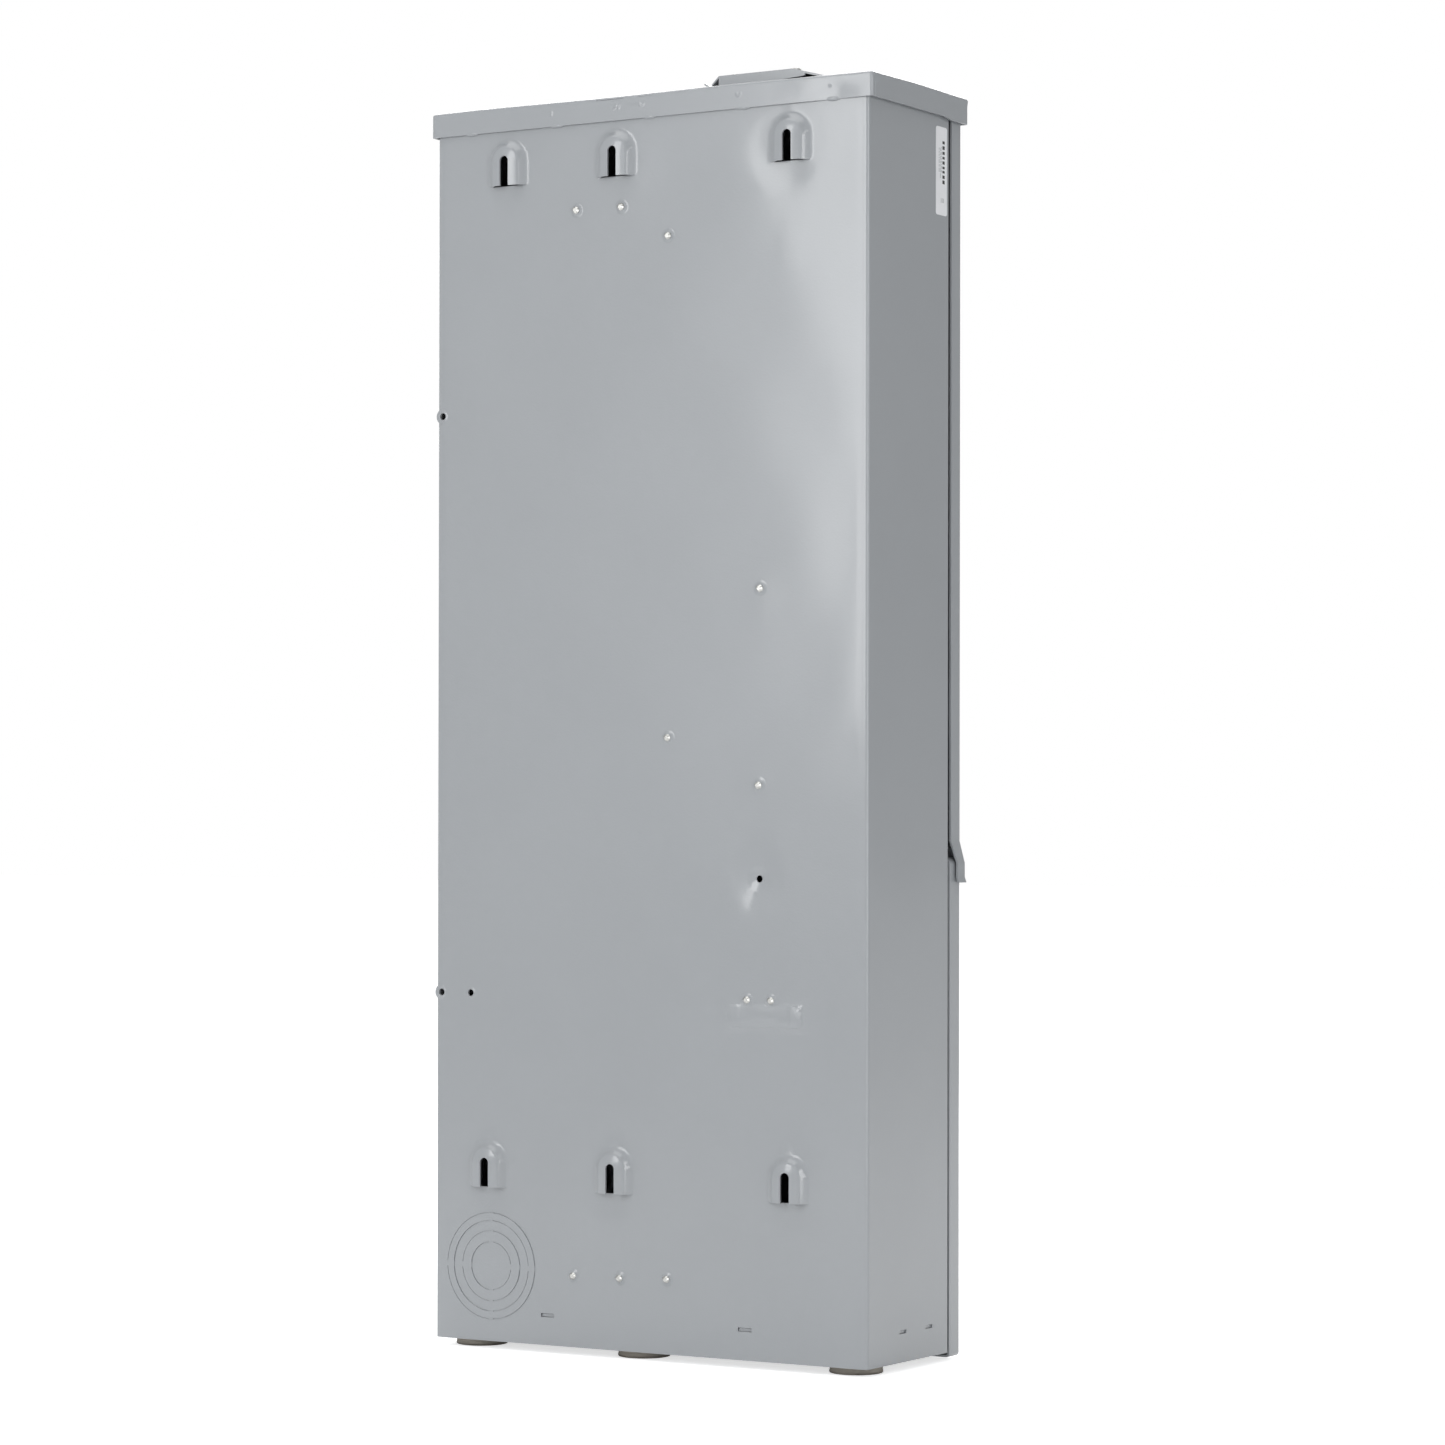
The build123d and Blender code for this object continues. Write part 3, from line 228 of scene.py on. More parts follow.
def maths(tree, operation, first, second):
    node = tree.nodes.new("ShaderNodeMath")
    node.operation = operation
    for slot, value in zip(node.inputs, (first, second)):
        if isinstance(value, (int, float)):
            slot.default_value = value
        else:
            tree.links.new(value, slot)
    return node.outputs[0]


def noiseAt(tree, point, scale, detail=2.0, roughness=0.5):
    node = addNode(tree, "ShaderNodeTexNoise", Detail=detail, Roughness=roughness)
    tree.links.new(point, node.inputs["Vector"])
    if isinstance(scale, (int, float)):
        node.inputs["Scale"].default_value = scale
    else:
        tree.links.new(scale, node.inputs["Scale"])
    return node.outputs["Fac"]


def remap(tree, value, low, high, newLow=0.0, newHigh=1.0):
    node = addNode(tree, "ShaderNodeMapRange", {"interpolation_type": "SMOOTHSTEP"})
    tree.links.new(value, node.inputs["Value"])
    for name, number in (("From Min", low), ("From Max", high), ("To Min", newLow), ("To Max", newHigh)):
        node.inputs[name].default_value = number
    return node.outputs["Result"]


def makeOrangePeel():
    # the skin of a sprayed or moulded surface: fine pimples over broader waves
    group, given, put = startGroup("orangePeel", {"Fine": 700.0, "Broad": 180.0, "Waves": 0.5}, ["Height"])
    point = objectPoint(group)
    fine = noiseAt(group, point, given.outputs["Fine"], 1.5)
    broad = noiseAt(group, point, given.outputs["Broad"], 1.0)
    waves = maths(group, "MULTIPLY", broad, given.outputs["Waves"])
    group.links.new(maths(group, "ADD", fine, waves), put.inputs["Height"])
    return group


def makeBendWearAndHighlight():
    # corners of a surface, broken up so that it isn't an even line: rubbed wear on most finishes, and on
    # the grey paint partly a painted highlight
    group, given, put = startGroup("bendWearAndHighlight", {"Reach": 0.0008, "Patchiness": 90.0}, ["Mask"])
    rounded = addNode(group, "ShaderNodeBevel", {"samples": 4})
    group.links.new(given.outputs["Reach"], rounded.inputs["Radius"])
    surface = group.nodes.new("ShaderNodeNewGeometry")
    product = addNode(group, "ShaderNodeVectorMath", {"operation": "DOT_PRODUCT"})
    group.links.new(rounded.outputs["Normal"], product.inputs[0])
    group.links.new(surface.outputs["Normal"], product.inputs[1])
    corner = remap(group, product.outputs["Value"], 0.995, 0.8)
    patches = noiseAt(group, objectPoint(group), given.outputs["Patchiness"], 4.0, 0.65)
    group.links.new(maths(group, "MULTIPLY", corner, remap(group, patches, 0.42, 0.6)), put.inputs["Mask"])
    return group


def makeDustFall():
    # dust on faces that look up, thinner where it has been wiped
    group, given, put = startGroup("dustFall", {"Amount": 0.5, "Wipes": 25.0}, ["Mask"])
    surface = group.nodes.new("ShaderNodeNewGeometry")
    split = group.nodes.new("ShaderNodeSeparateXYZ")
    group.links.new(surface.outputs["Normal"], split.inputs[0])
    up = remap(group, split.outputs["Z"], 0.2, 1.0)
    cloud = noiseAt(group, objectPoint(group), given.outputs["Wipes"], 5.0, 0.6)
    dusty = maths(group, "MULTIPLY", up, remap(group, cloud, 0.35, 0.7))
    specks = remap(group, noiseAt(group, objectPoint(group), 900.0, 1.0, 0.5), 0.70, 0.78)
    total = maths(group, "ADD", dusty, maths(group, "MULTIPLY", specks, 0.2))
    group.links.new(maths(group, "MULTIPLY", total, given.outputs["Amount"]), put.inputs["Mask"])
    return group


def makeDrawnGrain():
    # lines along the way that bar, wire or sheet was drawn or rolled
    group, given, put = startGroup("drawnGrain", {"Stretch": (900.0, 900.0, 12.0)}, ["Height", "Tone"])
    scaled = addNode(group, "ShaderNodeVectorMath", {"operation": "MULTIPLY"})
    group.links.new(objectPoint(group), scaled.inputs[0])
    group.links.new(given.outputs["Stretch"], scaled.inputs[1])
    lines = noiseAt(group, scaled.outputs[0], 1.0, 3.0, 0.7)
    group.links.new(lines, put.inputs["Height"])
    group.links.new(remap(group, lines, 0.35, 0.65), put.inputs["Tone"])
    return group


def makeSpangle():
    # zinc crystals, each with its own tone
    group, given, put = startGroup("spangle", {"Size": 140.0}, ["Tone", "Height"])
    warp = addNode(group, "ShaderNodeTexNoise", Scale=60.0, Detail=2.0)
    point = objectPoint(group)
    group.links.new(point, warp.inputs["Vector"])
    bent = addNode(group, "ShaderNodeVectorMath", {"operation": "MULTIPLY_ADD"})
    bent.inputs[1].default_value = (0.006, 0.006, 0.006)
    group.links.new(warp.outputs["Color"], bent.inputs[0])
    group.links.new(point, bent.inputs[2])
    cells = group.nodes.new("ShaderNodeTexVoronoi")
    group.links.new(bent.outputs[0], cells.inputs["Vector"])
    group.links.new(given.outputs["Size"], cells.inputs["Scale"])
    split = group.nodes.new("ShaderNodeSeparateColor")
    group.links.new(cells.outputs["Color"], split.inputs[0])
    group.links.new(split.outputs[0], put.inputs["Tone"])
    group.links.new(cells.outputs["Distance"], put.inputs["Height"])
    return group


groups = {
    "orangePeel": makeOrangePeel(),
    "bendWearAndHighlight": makeBendWearAndHighlight(),
    "dustFall": makeDustFall(),
    "drawnGrain": makeDrawnGrain(),
    "spangle": makeSpangle(),
}
print("shader groups made")


# materials

def startMaterial(name, **sockets):
    material = bpy.data.materials.new(name)
    material.use_nodes = True
    tree = material.node_tree
    shader = tree.nodes["Principled BSDF"]
    for label, value in sockets.items():
        shader.inputs[label.replace("_", " ")].default_value = value
    return material, tree, shader


def useGroup(tree, name, **values):
    node = tree.nodes.new("ShaderNodeGroup")
    node.node_tree = groups[name]
    for label, value in values.items():
        node.inputs[label].default_value = value
    return node.outputs


def blendColours(tree, mask, first, second):
    node = addNode(tree, "ShaderNodeMix", {"data_type": "RGBA"})
    for slot, value in ((node.inputs[6], first), (node.inputs[7], second)):
        if isinstance(value, tuple):
            slot.default_value = (*value, 1)
        else:
            tree.links.new(value, slot)
    tree.links.new(mask, node.inputs[0])
    return node.outputs[2]


def addBump(tree, shader, height, strength, distance):
    bump = addNode(tree, "ShaderNodeBump", Strength=strength, Distance=distance)
    tree.links.new(height, bump.inputs["Height"])
    tree.links.new(bump.outputs[0], shader.inputs["Normal"])


paintValues = {
    "colour": (0.318, 0.335, 0.352),
    "toneSpread": 0.01,
    "thinnedAndHighlit": (0.40, 0.415, 0.43),  # lighter paint over a bend: partly a thinner coat, partly a painted highlight
    "lighterBendReach": 0.0006,
    "lighterBendShare": 0.4,
    "dust": (0.38, 0.37, 0.35),
    "dustAmount": 0.04,
    "dustRoughens": 0.4,
    "roughness": (0.284, 0.316),
    "clear": (1.0, 0.12),            # weight and roughness of the paint's smooth skin
    "clouds": (9.0, 22.0),           # scales of the changes in tone and in gloss
    "peel": (620.0, 150.0, 0.8),     # fine pimples, broad waves, share of the waves
    "peelBump": (0.22, 0.00035),     # strength, distance
}


def makeGreyPaint():
    v = paintValues
    weight, smooth = v["clear"]
    material, tree, shader = startMaterial(
        "greyEnamel", Specular_IOR_Level=0.5, Coat_Weight=weight, Coat_Roughness=smooth,
    )
    point = objectPoint(tree)
    toneScale, glossScale = v["clouds"]
    darker = tuple(c * (1 - v["toneSpread"]) for c in v["colour"])
    lighter = tuple(c * (1 + v["toneSpread"]) for c in v["colour"])
    coat = blendColours(tree, remap(tree, noiseAt(tree, point, toneScale), 0.3, 0.7), darker, lighter)
    # lighter paint along the bends: partly the coat thinning, partly a painted highlight on them
    rubbed = useGroup(tree, "bendWearAndHighlight", Reach=v["lighterBendReach"])["Mask"]
    thinnedAndHighlitCoat = blendColours(tree, maths(tree, "MULTIPLY", rubbed, v["lighterBendShare"]), coat, v["thinnedAndHighlit"])
    dust = useGroup(tree, "dustFall", Amount=v["dustAmount"])["Mask"]
    tree.links.new(blendColours(tree, dust, thinnedAndHighlitCoat, v["dust"]), shader.inputs["Base Color"])
    gloss = remap(tree, noiseAt(tree, point, glossScale), 0.3, 0.7, *v["roughness"])
    duller = maths(tree, "ADD", gloss, maths(tree, "MULTIPLY", dust, v["dustRoughens"]))
    tree.links.new(duller, shader.inputs["Roughness"])
    fine, broad, waves = v["peel"]
    peel = useGroup(tree, "orangePeel", Fine=fine, Broad=broad, Waves=waves)["Height"]
    addBump(tree, shader, peel, *v["peelBump"])
    return material


zincValues = {
    "tones": ((0.46, 0.48, 0.49), (0.62, 0.64, 0.66)),
    "crystals": 130.0,
    "roughness": (0.34, 0.52),
    "dust": (0.40, 0.39, 0.36),
    "dustAmount": 0.35,
    "bump": (0.12, 0.0006),
}


def makeGalvanised():
    v = zincValues
    material, tree, shader = startMaterial("galvanisedSheet", Metallic=0.85)
    zinc = useGroup(tree, "spangle", Size=v["crystals"])
    colour = blendColours(tree, zinc["Tone"], *v["tones"])
    dust = useGroup(tree, "dustFall", Amount=v["dustAmount"])["Mask"]
    tree.links.new(blendColours(tree, dust, colour, v["dust"]), shader.inputs["Base Color"])
    tree.links.new(remap(tree, zinc["Tone"], 0.0, 1.0, *v["roughness"]), shader.inputs["Roughness"])
    addBump(tree, shader, zinc["Height"], *v["bump"])
    return material


# light tone, dark tone, stretch of the grain, roughness, how metallic
platings = {
    "zincPlate": ((0.74, 0.74, 0.71), (0.52, 0.52, 0.50), (900, 900, 900), (0.24, 0.42), 0.95),
    "greenPassivate": ((0.05, 0.30, 0.11), (0.03, 0.17, 0.07), (900, 900, 900), (0.30, 0.48), 0.7),
    "tinPlate": ((0.76, 0.77, 0.78), (0.60, 0.61, 0.62), (1100, 1100, 14), (0.28, 0.46), 0.95),
    "machinedAluminium": ((0.70, 0.71, 0.72), (0.55, 0.56, 0.57), (14, 1300, 1300), (0.30, 0.50), 0.95),
}


def makePlatedMetal(name):
    # drawn or extruded metal, duller in patches
    light, dark, stretch, roughness, metallic = platings[name]
    material, tree, shader = startMaterial(name, Metallic=metallic)
    grain = useGroup(tree, "drawnGrain", Stretch=stretch)
    tarnish = remap(tree, noiseAt(tree, objectPoint(tree), 60.0, 5.0, 0.7), 0.35, 0.75)
    shade = maths(tree, "MULTIPLY", maths(tree, "ADD", grain["Tone"], tarnish), 0.5)
    body = blendColours(tree, shade, light, dark)
    rubbed = useGroup(tree, "bendWearAndHighlight", Reach=0.0004)["Mask"]
    bright = tuple(min(1.0, c * 1.25) for c in light)
    tree.links.new(blendColours(tree, rubbed, body, bright), shader.inputs["Base Color"])
    tree.links.new(remap(tree, shade, 0.0, 1.0, *roughness), shader.inputs["Roughness"])
    addBump(tree, shader, grain["Height"], 0.16, 0.0002)
    return material


# colour, roughness, dust, strength of the skin's texture
mouldings = {
    "glassPolyester": ((0.24, 0.035, 0.022), (0.42, 0.56), 0.3, 0.15),
    "blackThermoset": ((0.016, 0.016, 0.018), (0.42, 0.56), 0.3, 0.15),
    "handleBlack": ((0.013, 0.013, 0.015), (0.28, 0.40), 0.2, 0.08),
    "fillerGrey": ((0.045, 0.045, 0.048), (0.44, 0.58), 0.3, 0.15),
    "latchBlack": ((0.02, 0.02, 0.022), (0.36, 0.50), 0.3, 0.15),
}


def makeMoulding(name):
    # moulded plastic: fine texture from the tool, paler scuffs on its edges
    colour, roughness, dustAmount, peel = mouldings[name]
    material, tree, shader = startMaterial(name)
    cloud = remap(tree, noiseAt(tree, objectPoint(tree), 45.0, 4.0, 0.6), 0.3, 0.7)
    body = blendColours(tree, cloud, tuple(c * 0.88 for c in colour), tuple(c * 1.12 for c in colour))
    scuffed = maths(tree, "MULTIPLY", useGroup(tree, "bendWearAndHighlight", Reach=0.0005)["Mask"], 0.6)
    pale = tuple(min(1.0, c * 1.5 + 0.05) for c in colour)
    rubbed = blendColours(tree, scuffed, body, pale)
    dust = useGroup(tree, "dustFall", Amount=dustAmount, Wipes=60.0)["Mask"]
    tree.links.new(blendColours(tree, dust, rubbed, (0.34, 0.33, 0.30)), shader.inputs["Base Color"])
    gloss = remap(tree, cloud, 0.0, 1.0, *roughness)
    duller = maths(tree, "ADD", gloss, maths(tree, "MULTIPLY", dust, 0.3))
    tree.links.new(duller, shader.inputs["Roughness"])
    skin = useGroup(tree, "orangePeel", Fine=2600.0, Broad=500.0, Waves=0.4)["Height"]
    addBump(tree, shader, skin, peel, 0.0002)
    return material


rubberValues = {
    "tones": ((0.30, 0.275, 0.235), (0.37, 0.34, 0.295)),
    # painted shade along the feet's lower edge
    "lowerEdgeShade": (0.12, 0.108, 0.09),
    "lowerEdgeShadeFade": (0.0024, 0.0006),    # unshaded above the first height, painted shade below the second
    "roughness": (0.58, 0.72),
}


def makeFootRubber():
    # pale rubber, with painted shade along its lower edge by the floor
    v = rubberValues
    material, tree, shader = startMaterial("footRubber", Specular_IOR_Level=0.35)
    point = objectPoint(tree)
    cloud = remap(tree, noiseAt(tree, point, 90.0, 4.0, 0.6), 0.3, 0.7)
    rubberTone = blendColours(tree, cloud, *v["tones"])
    split = tree.nodes.new("ShaderNodeSeparateXYZ")
    tree.links.new(point, split.inputs[0])
    # painted shade: darker towards the foot's lower edge, where it meets the floor
    low = remap(tree, split.outputs["Z"], *v["lowerEdgeShadeFade"])
    shadedBelow = maths(tree, "MULTIPLY", low, remap(tree, cloud, 0.0, 1.0, 0.6, 1.0))
    tree.links.new(blendColours(tree, shadedBelow, rubberTone, v["lowerEdgeShade"]), shader.inputs["Base Color"])
    tree.links.new(remap(tree, cloud, 0.0, 1.0, *v["roughness"]), shader.inputs["Roughness"])
    skin = useGroup(tree, "orangePeel", Fine=1500.0, Broad=300.0, Waves=0.5)["Height"]
    addBump(tree, shader, skin, 0.3, 0.0003)
    return material


def makeSheetStock(name, colour, gloss, fibre):
    # label film or card
    material, tree, shader = startMaterial(name)
    point = objectPoint(tree)
    cloud = remap(tree, noiseAt(tree, point, 35.0, 4.0, 0.6), 0.3, 0.7)
    body = blendColours(tree, cloud, tuple(c * 0.95 for c in colour), colour)
    rubbed = maths(tree, "MULTIPLY", useGroup(tree, "bendWearAndHighlight", Reach=0.0008)["Mask"], 0.4)
    grubby = tuple(c * 0.72 for c in colour)
    tree.links.new(blendColours(tree, rubbed, body, grubby), shader.inputs["Base Color"])
    tree.links.new(remap(tree, cloud, 0.0, 1.0, gloss, gloss + 0.08), shader.inputs["Roughness"])
    addBump(tree, shader, noiseAt(tree, point, fibre, 4.0, 0.7), 0.12, 0.0001)
    return material


def makeInk(name, colour):
    material, tree, shader = startMaterial(name)
    patchy = remap(tree, noiseAt(tree, objectPoint(tree), 1800.0, 3.0, 0.7), 0.35, 0.7)
    pale = tuple(c * 1.6 + 0.03 for c in colour)
    tree.links.new(blendColours(tree, patchy, colour, pale), shader.inputs["Base Color"])
    tree.links.new(remap(tree, patchy, 0.0, 1.0, 0.45, 0.6), shader.inputs["Roughness"])
    return material


def makeGasketRubber():
    # closed-cell rubber, with pinholes, and painted shade in the pores
    material, tree, shader = startMaterial("gasketRubber", Specular_IOR_Level=0.3)
    cells = addNode(tree, "ShaderNodeTexVoronoi", Scale=1400.0)
    tree.links.new(objectPoint(tree), cells.inputs["Vector"])
    hole = remap(tree, cells.outputs["Distance"], 0.1, 0.5)
    # painted shade: the pinholes are darker than the rubber round them
    colour = blendColours(tree, hole, (0.018, 0.018, 0.018), (0.045, 0.045, 0.047))
    tree.links.new(colour, shader.inputs["Base Color"])
    tree.links.new(remap(tree, hole, 0.0, 1.0, 0.95, 0.78), shader.inputs["Roughness"])
    addBump(tree, shader, cells.outputs["Distance"], 0.4, 0.0003)
    return material


finishes = {
    "grey_paint": makeGreyPaint(),
    "galvanised": makeGalvanised(),
    "zinc_screw": makePlatedMetal("zincPlate"),
    "green_screw": makePlatedMetal("greenPassivate"),
    "bus_metal": makePlatedMetal("tinPlate"),
    "lug_metal": makePlatedMetal("machinedAluminium"),
    "insulator": makeMoulding("glassPolyester"),
    "breaker_black": makeMoulding("blackThermoset"),
    "handle_black": makeMoulding("handleBlack"),
    "filler_grey": makeMoulding("fillerGrey"),
    "latch_plastic": makeMoulding("latchBlack"),
    "gasket_rubber": makeGasketRubber(),
    "foot_rubber": makeFootRubber(),
    "label_white": makeSheetStock("labelFilm", (0.80, 0.81, 0.83), 0.3, 600.0),
    "card_white": makeSheetStock("cardStock", (0.78, 0.77, 0.72), 0.6, 1600.0),
}
blackInk = makeInk("blackInk", (0.02, 0.02, 0.02))
greyInk = makeInk("greyInk", (0.30, 0.31, 0.32))
whiteInk = makeInk("whiteInk", (0.62, 0.62, 0.60))
print("materials made:", len(finishes) + 3)

slotOf = {part["node"]: part["material_slot"] for part in frame["record"]["subparts"]}


def dressNodes():
    for name, node in nodes.items():
        node.data.materials.clear()
        node.data.materials.append(finishes[slotOf[name]])


# mesh helpers

def finishPiece(bm, name, body, slot, material=None, sharp=32.0):
    # the bmesh becomes a piece that rides on its body
    mesh = bpy.data.meshes.new(name)
    bm.to_mesh(mesh)
    bm.free()
    for leftover in ("custom_normal", "sharp_face"):
        if leftover in mesh.attributes:
            mesh.attributes.remove(mesh.attributes[leftover])
    mesh.shade_smooth()
    mesh.set_sharp_from_angle(angle=math.radians(sharp))
    mesh.materials.clear()
    mesh.materials.append(material or finishes[slot])
    piece = bpy.data.objects.new(name, mesh)
    bpy.context.scene.collection.objects.link(piece)
    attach(piece, body)
    return piece


def meshOf(node):
    # a copy of a CAD mesh, joined up and with its flat faces made whole
    bm = bmesh.new()
    bm.from_mesh(nodes[node].data)
    bmesh.ops.remove_doubles(bm, verts=bm.verts, dist=2e-6)
    bmesh.ops.dissolve_limit(bm, angle_limit=math.radians(0.3), verts=bm.verts, edges=bm.edges)
    return bm


def solidBoxes(node):
    # the box of each separate solid in a node, lowest corner and highest
    bm = bmesh.new()
    bm.from_mesh(nodes[node].data)
    bmesh.ops.remove_doubles(bm, verts=bm.verts, dist=2e-6)
    waiting, boxes = set(bm.verts), []
    while waiting:
        island, edge = set(), [waiting.pop()]
        while edge:
            vert = edge.pop()
            island.add(vert)
            for link in vert.link_edges:
                other = link.other_vert(vert)
                if other in waiting:
                    waiting.discard(other)
                    edge.append(other)
        low = Vector([min(v.co[i] for v in island) for i in range(3)])
        high = Vector([max(v.co[i] for v in island) for i in range(3)])
        boxes.append((low, high))
    bm.free()
    return sorted(boxes, key=lambda b: tuple(round(c, 5) for c in b[0]))


def cutAlong(bm, axis, places, faces=None):
    # cuts the mesh, or only some of its faces, across an axis at each place
    normal = Vector([float(i == axis) for i in range(3)])
    if faces is None:
        geometry = bm.verts[:] + bm.edges[:] + bm.faces[:]
    else:
        geometry = gather(faces)
    for place in places:
        cut = bmesh.ops.bisect_plane(bm, geom=geometry, dist=1e-7, plane_co=normal * place, plane_no=normal)
        geometry = cut["geom"]
    return [g for g in geometry if isinstance(g, bmesh.types.BMFace)]


def gather(faces):
    verts, edges = set(), set()
    for face in faces:
        verts.update(face.verts)
        edges.update(face.edges)
    return list(verts) + list(edges) + list(faces)


def steps(low, high, size):
    count = max(1, round((high - low) / size))
    return [low + (high - low) * i / count for i in range(1, count)]


def refineBack(bm, x, z, half, size, y):
    # a finer mesh in a window of a wall that faces the back
    window = []
    for face in bm.faces:
        middle = face.calc_center_median()
        if abs(face.normal.y) > 0.6 and abs(middle.x - x) < half and abs(middle.z - z) < half:
            if y[0] < middle.y < y[1]:
                window.append(face)
    for axis, centre in ((0, x), (2, z)):
        window = cutAlong(bm, axis, steps(centre - half, centre + half, size), window)


def halfWave(distance, reach):
    # 1 in the middle, 0 from reach outwards, smooth at both ends
    if distance >= reach:
        return 0.0
    return 0.5 + 0.5 * math.cos(math.pi * distance / reach)


def smoothStep(value):
    value = min(1.0, max(0.0, value))
    return value * value * (3 - 2 * value)


def spinRound(bm, profile, centre, axis, turns=24):
    # a profile of (radius, along) points turned about an axis through centre
    axis = Vector(axis)
    side = axis.orthogonal().normalized()
    verts = [bm.verts.new(Vector(centre) + side * r + axis * along) for r, along in profile]
    edges = [bm.edges.new(pair) for pair in zip(verts, verts[1:])]
    bmesh.ops.spin(
        bm, geom=verts + edges, cent=centre, axis=axis, dvec=(0, 0, 0),
        angle=2 * math.pi, steps=turns, use_merge=True, use_duplicate=False,
    )


def tidySpun(bm):
    bmesh.ops.remove_doubles(bm, verts=bm.verts, dist=2e-6)
    bmesh.ops.recalc_face_normals(bm, faces=bm.faces)


# the box: back and sides, with the dents that handling left

boxValues = {
    "grid": 0.0105,              # mesh size of the large walls
    "fineGrid": 0.0016,              # round the wall feet
    "windowGrid": 0.0022,
    "windows": ((-0.0939, 0.3452, 0.030), (-0.0990, 0.2485, 0.036)),   # x, z, half size
    "bend": 0.0030,              # a wall's flat ends this far inside its corner
    "wall": 0.0035,              # both faces of a wall lie within this of its outside
    "edgeRoll": (0.0065, 0.00042),   # the back falls away a little before it bends: width, depth
    "backRim": (0.003, 0.022, 0.017),    # flat margins: at the sides, below, above
    "sideRim": (0.004, 0.012, 0.035, 0.025),     # by the back, by the door, below, above
    "rimFade": 0.02,
    "footRows": (0.118, 0.85),   # rough heights of the two rows of wall feet
    "footWindow": (0.008, 0.029),    # middle above the shear line, half size
    "footClear": (0.016, 0.022),     # flat round a foot: middle above the shear line, radius
    # a wall foot, outwards from its middle line: face, its fall there, slope, soft base
    "foot": {"edge": 0.0110, "crown": 0.0017, "slope": 1.0, "soft": 0.0020},
    "footPlan": (0.0155, 0.00445, 0.0175),   # half width, run of the sides, rise to the arch
    "footDraw": (0.022, 0.017, 0.00026),    # sheet drawn in below a foot: across, down, depth
    # oil-canning: height, and wavelengths across and up
    "waves": ((0.00032, 0.31, 0.47, 0.4), (0.00022, 0.19, 0.26, 1.9), (0.00012, 0.11, 0.17, 3.1)),
    # dents: x, z, reach across and up, depth (below zero goes inwards)
    "dents": (
        (-0.0939, 0.3452, 0.025, 0.036, -0.00190),
        (-0.0990, 0.3280, 0.016, 0.024, 0.00045),
        (-0.1730, 0.4300, 0.016, 0.032, -0.00040),
        (-0.1720, 0.4010, 0.014, 0.024, 0.00025),
        (-0.1192, 0.7874, 0.014, 0.022, 0.00022),
        (-0.0950, 0.5430, 0.020, 0.026, 0.00022),
        (-0.0946, 0.4110, 0.020, 0.026, 0.00020),
        (-0.1220, 0.2440, 0.016, 0.010, 0.00045),
        (-0.0760, 0.2440, 0.014, 0.010, 0.00035),
        (-0.0990, 0.2500, 0.020, 0.007, 0.00030),
    ),
    # bar pressed out behind the ground lug, higher at one end and rippled
    "ledge": {
        "middle": (-0.099, 0.2485),
        "half": (0.036, 0.012),
        "heights": (1.35, 0.60),
        "fall": (-0.028, 0.022),     # where the height starts to change, and over how long
        "ripples": ((0.12, 0.0043, 0.0), (0.08, 0.0019, 1.0)),   # size, length, phase
        "softening": 24,
    },
    "sideWaves": ((0.00025, 0.13, 0.52, 0.8), (0.00014, 0.09, 0.21, 2.3)),
}


def waveAt(waves, across, up):
    total = 0.0
    for height, longX, longZ, phase in waves:
        crossing = height * math.sin(2 * math.pi * across / longX + phase)
        total += crossing * math.sin(2 * math.pi * up / longZ + 1.7 * phase)
    return total


def backOffset(x, z):
    # how far the back sheet stands out of its plane at a place
    v = boxValues
    side, below, above = v["backRim"]
    clearUp, clearRadius = v["footClear"]
    edge = min(sideX - side - abs(x), z - boxLow.z - below, boxHigh.z - above - z)
    for footX, footZ in wallFeet:
        edge = min(edge, math.hypot(x - footX, z - footZ - clearUp) - clearRadius)
    out = waveAt(v["waves"], x, z)
    for dentX, dentZ, across, up, depth in v["dents"]:
        out += depth * halfWave(math.hypot((x - dentX) / across, (z - dentZ) / up), 1.0)
    out *= smoothStep(edge / v["rimFade"])
    across, down, depth = v["footDraw"]
    for footX, footZ in wallFeet:
        out -= depth * halfWave(math.hypot((x - footX) / across, (z - footZ + down / 2) / down), 1.0)
    return out


def footHeight(reach):
    # how far a foot's outside stands out, at a distance from its middle line
    v = boxValues["foot"]
    low = standOff - v["crown"]
    base = v["edge"] + low / v["slope"]
    if reach < v["edge"]:
        return standOff - v["crown"] * (reach / v["edge"]) ** 2
    if reach < base - v["soft"]:
        return (base - reach) * v["slope"]
    return v["slope"] * max(0.0, base + v["soft"] - reach) ** 2 / (4 * v["soft"])


def shapeFoot(vert):
    # the outside of a foot takes its rounded height, the inside follows its crown
    x, y, z = vert.co
    half, run, rise = boxValues["footPlan"]
    crown, edge = boxValues["foot"]["crown"], boxValues["foot"]["edge"]
    for footX, footZ in wallFeet:
        reach = math.hypot(x - footX, max(0.0, z - footZ - rise))
        if reach > half + 0.004 or z < footZ - 1e-5:
            continue
        outside = backY + standOff * min(1.0, max(0.0, (half - reach) / run))
        if abs(y - outside) < 0.00012:
            vert.co.y = backY + footHeight(reach)
        elif y > backY + 0.0004:
            vert.co.y -= crown * (y - backY) / standOff * min(1.0, reach / edge) ** 2


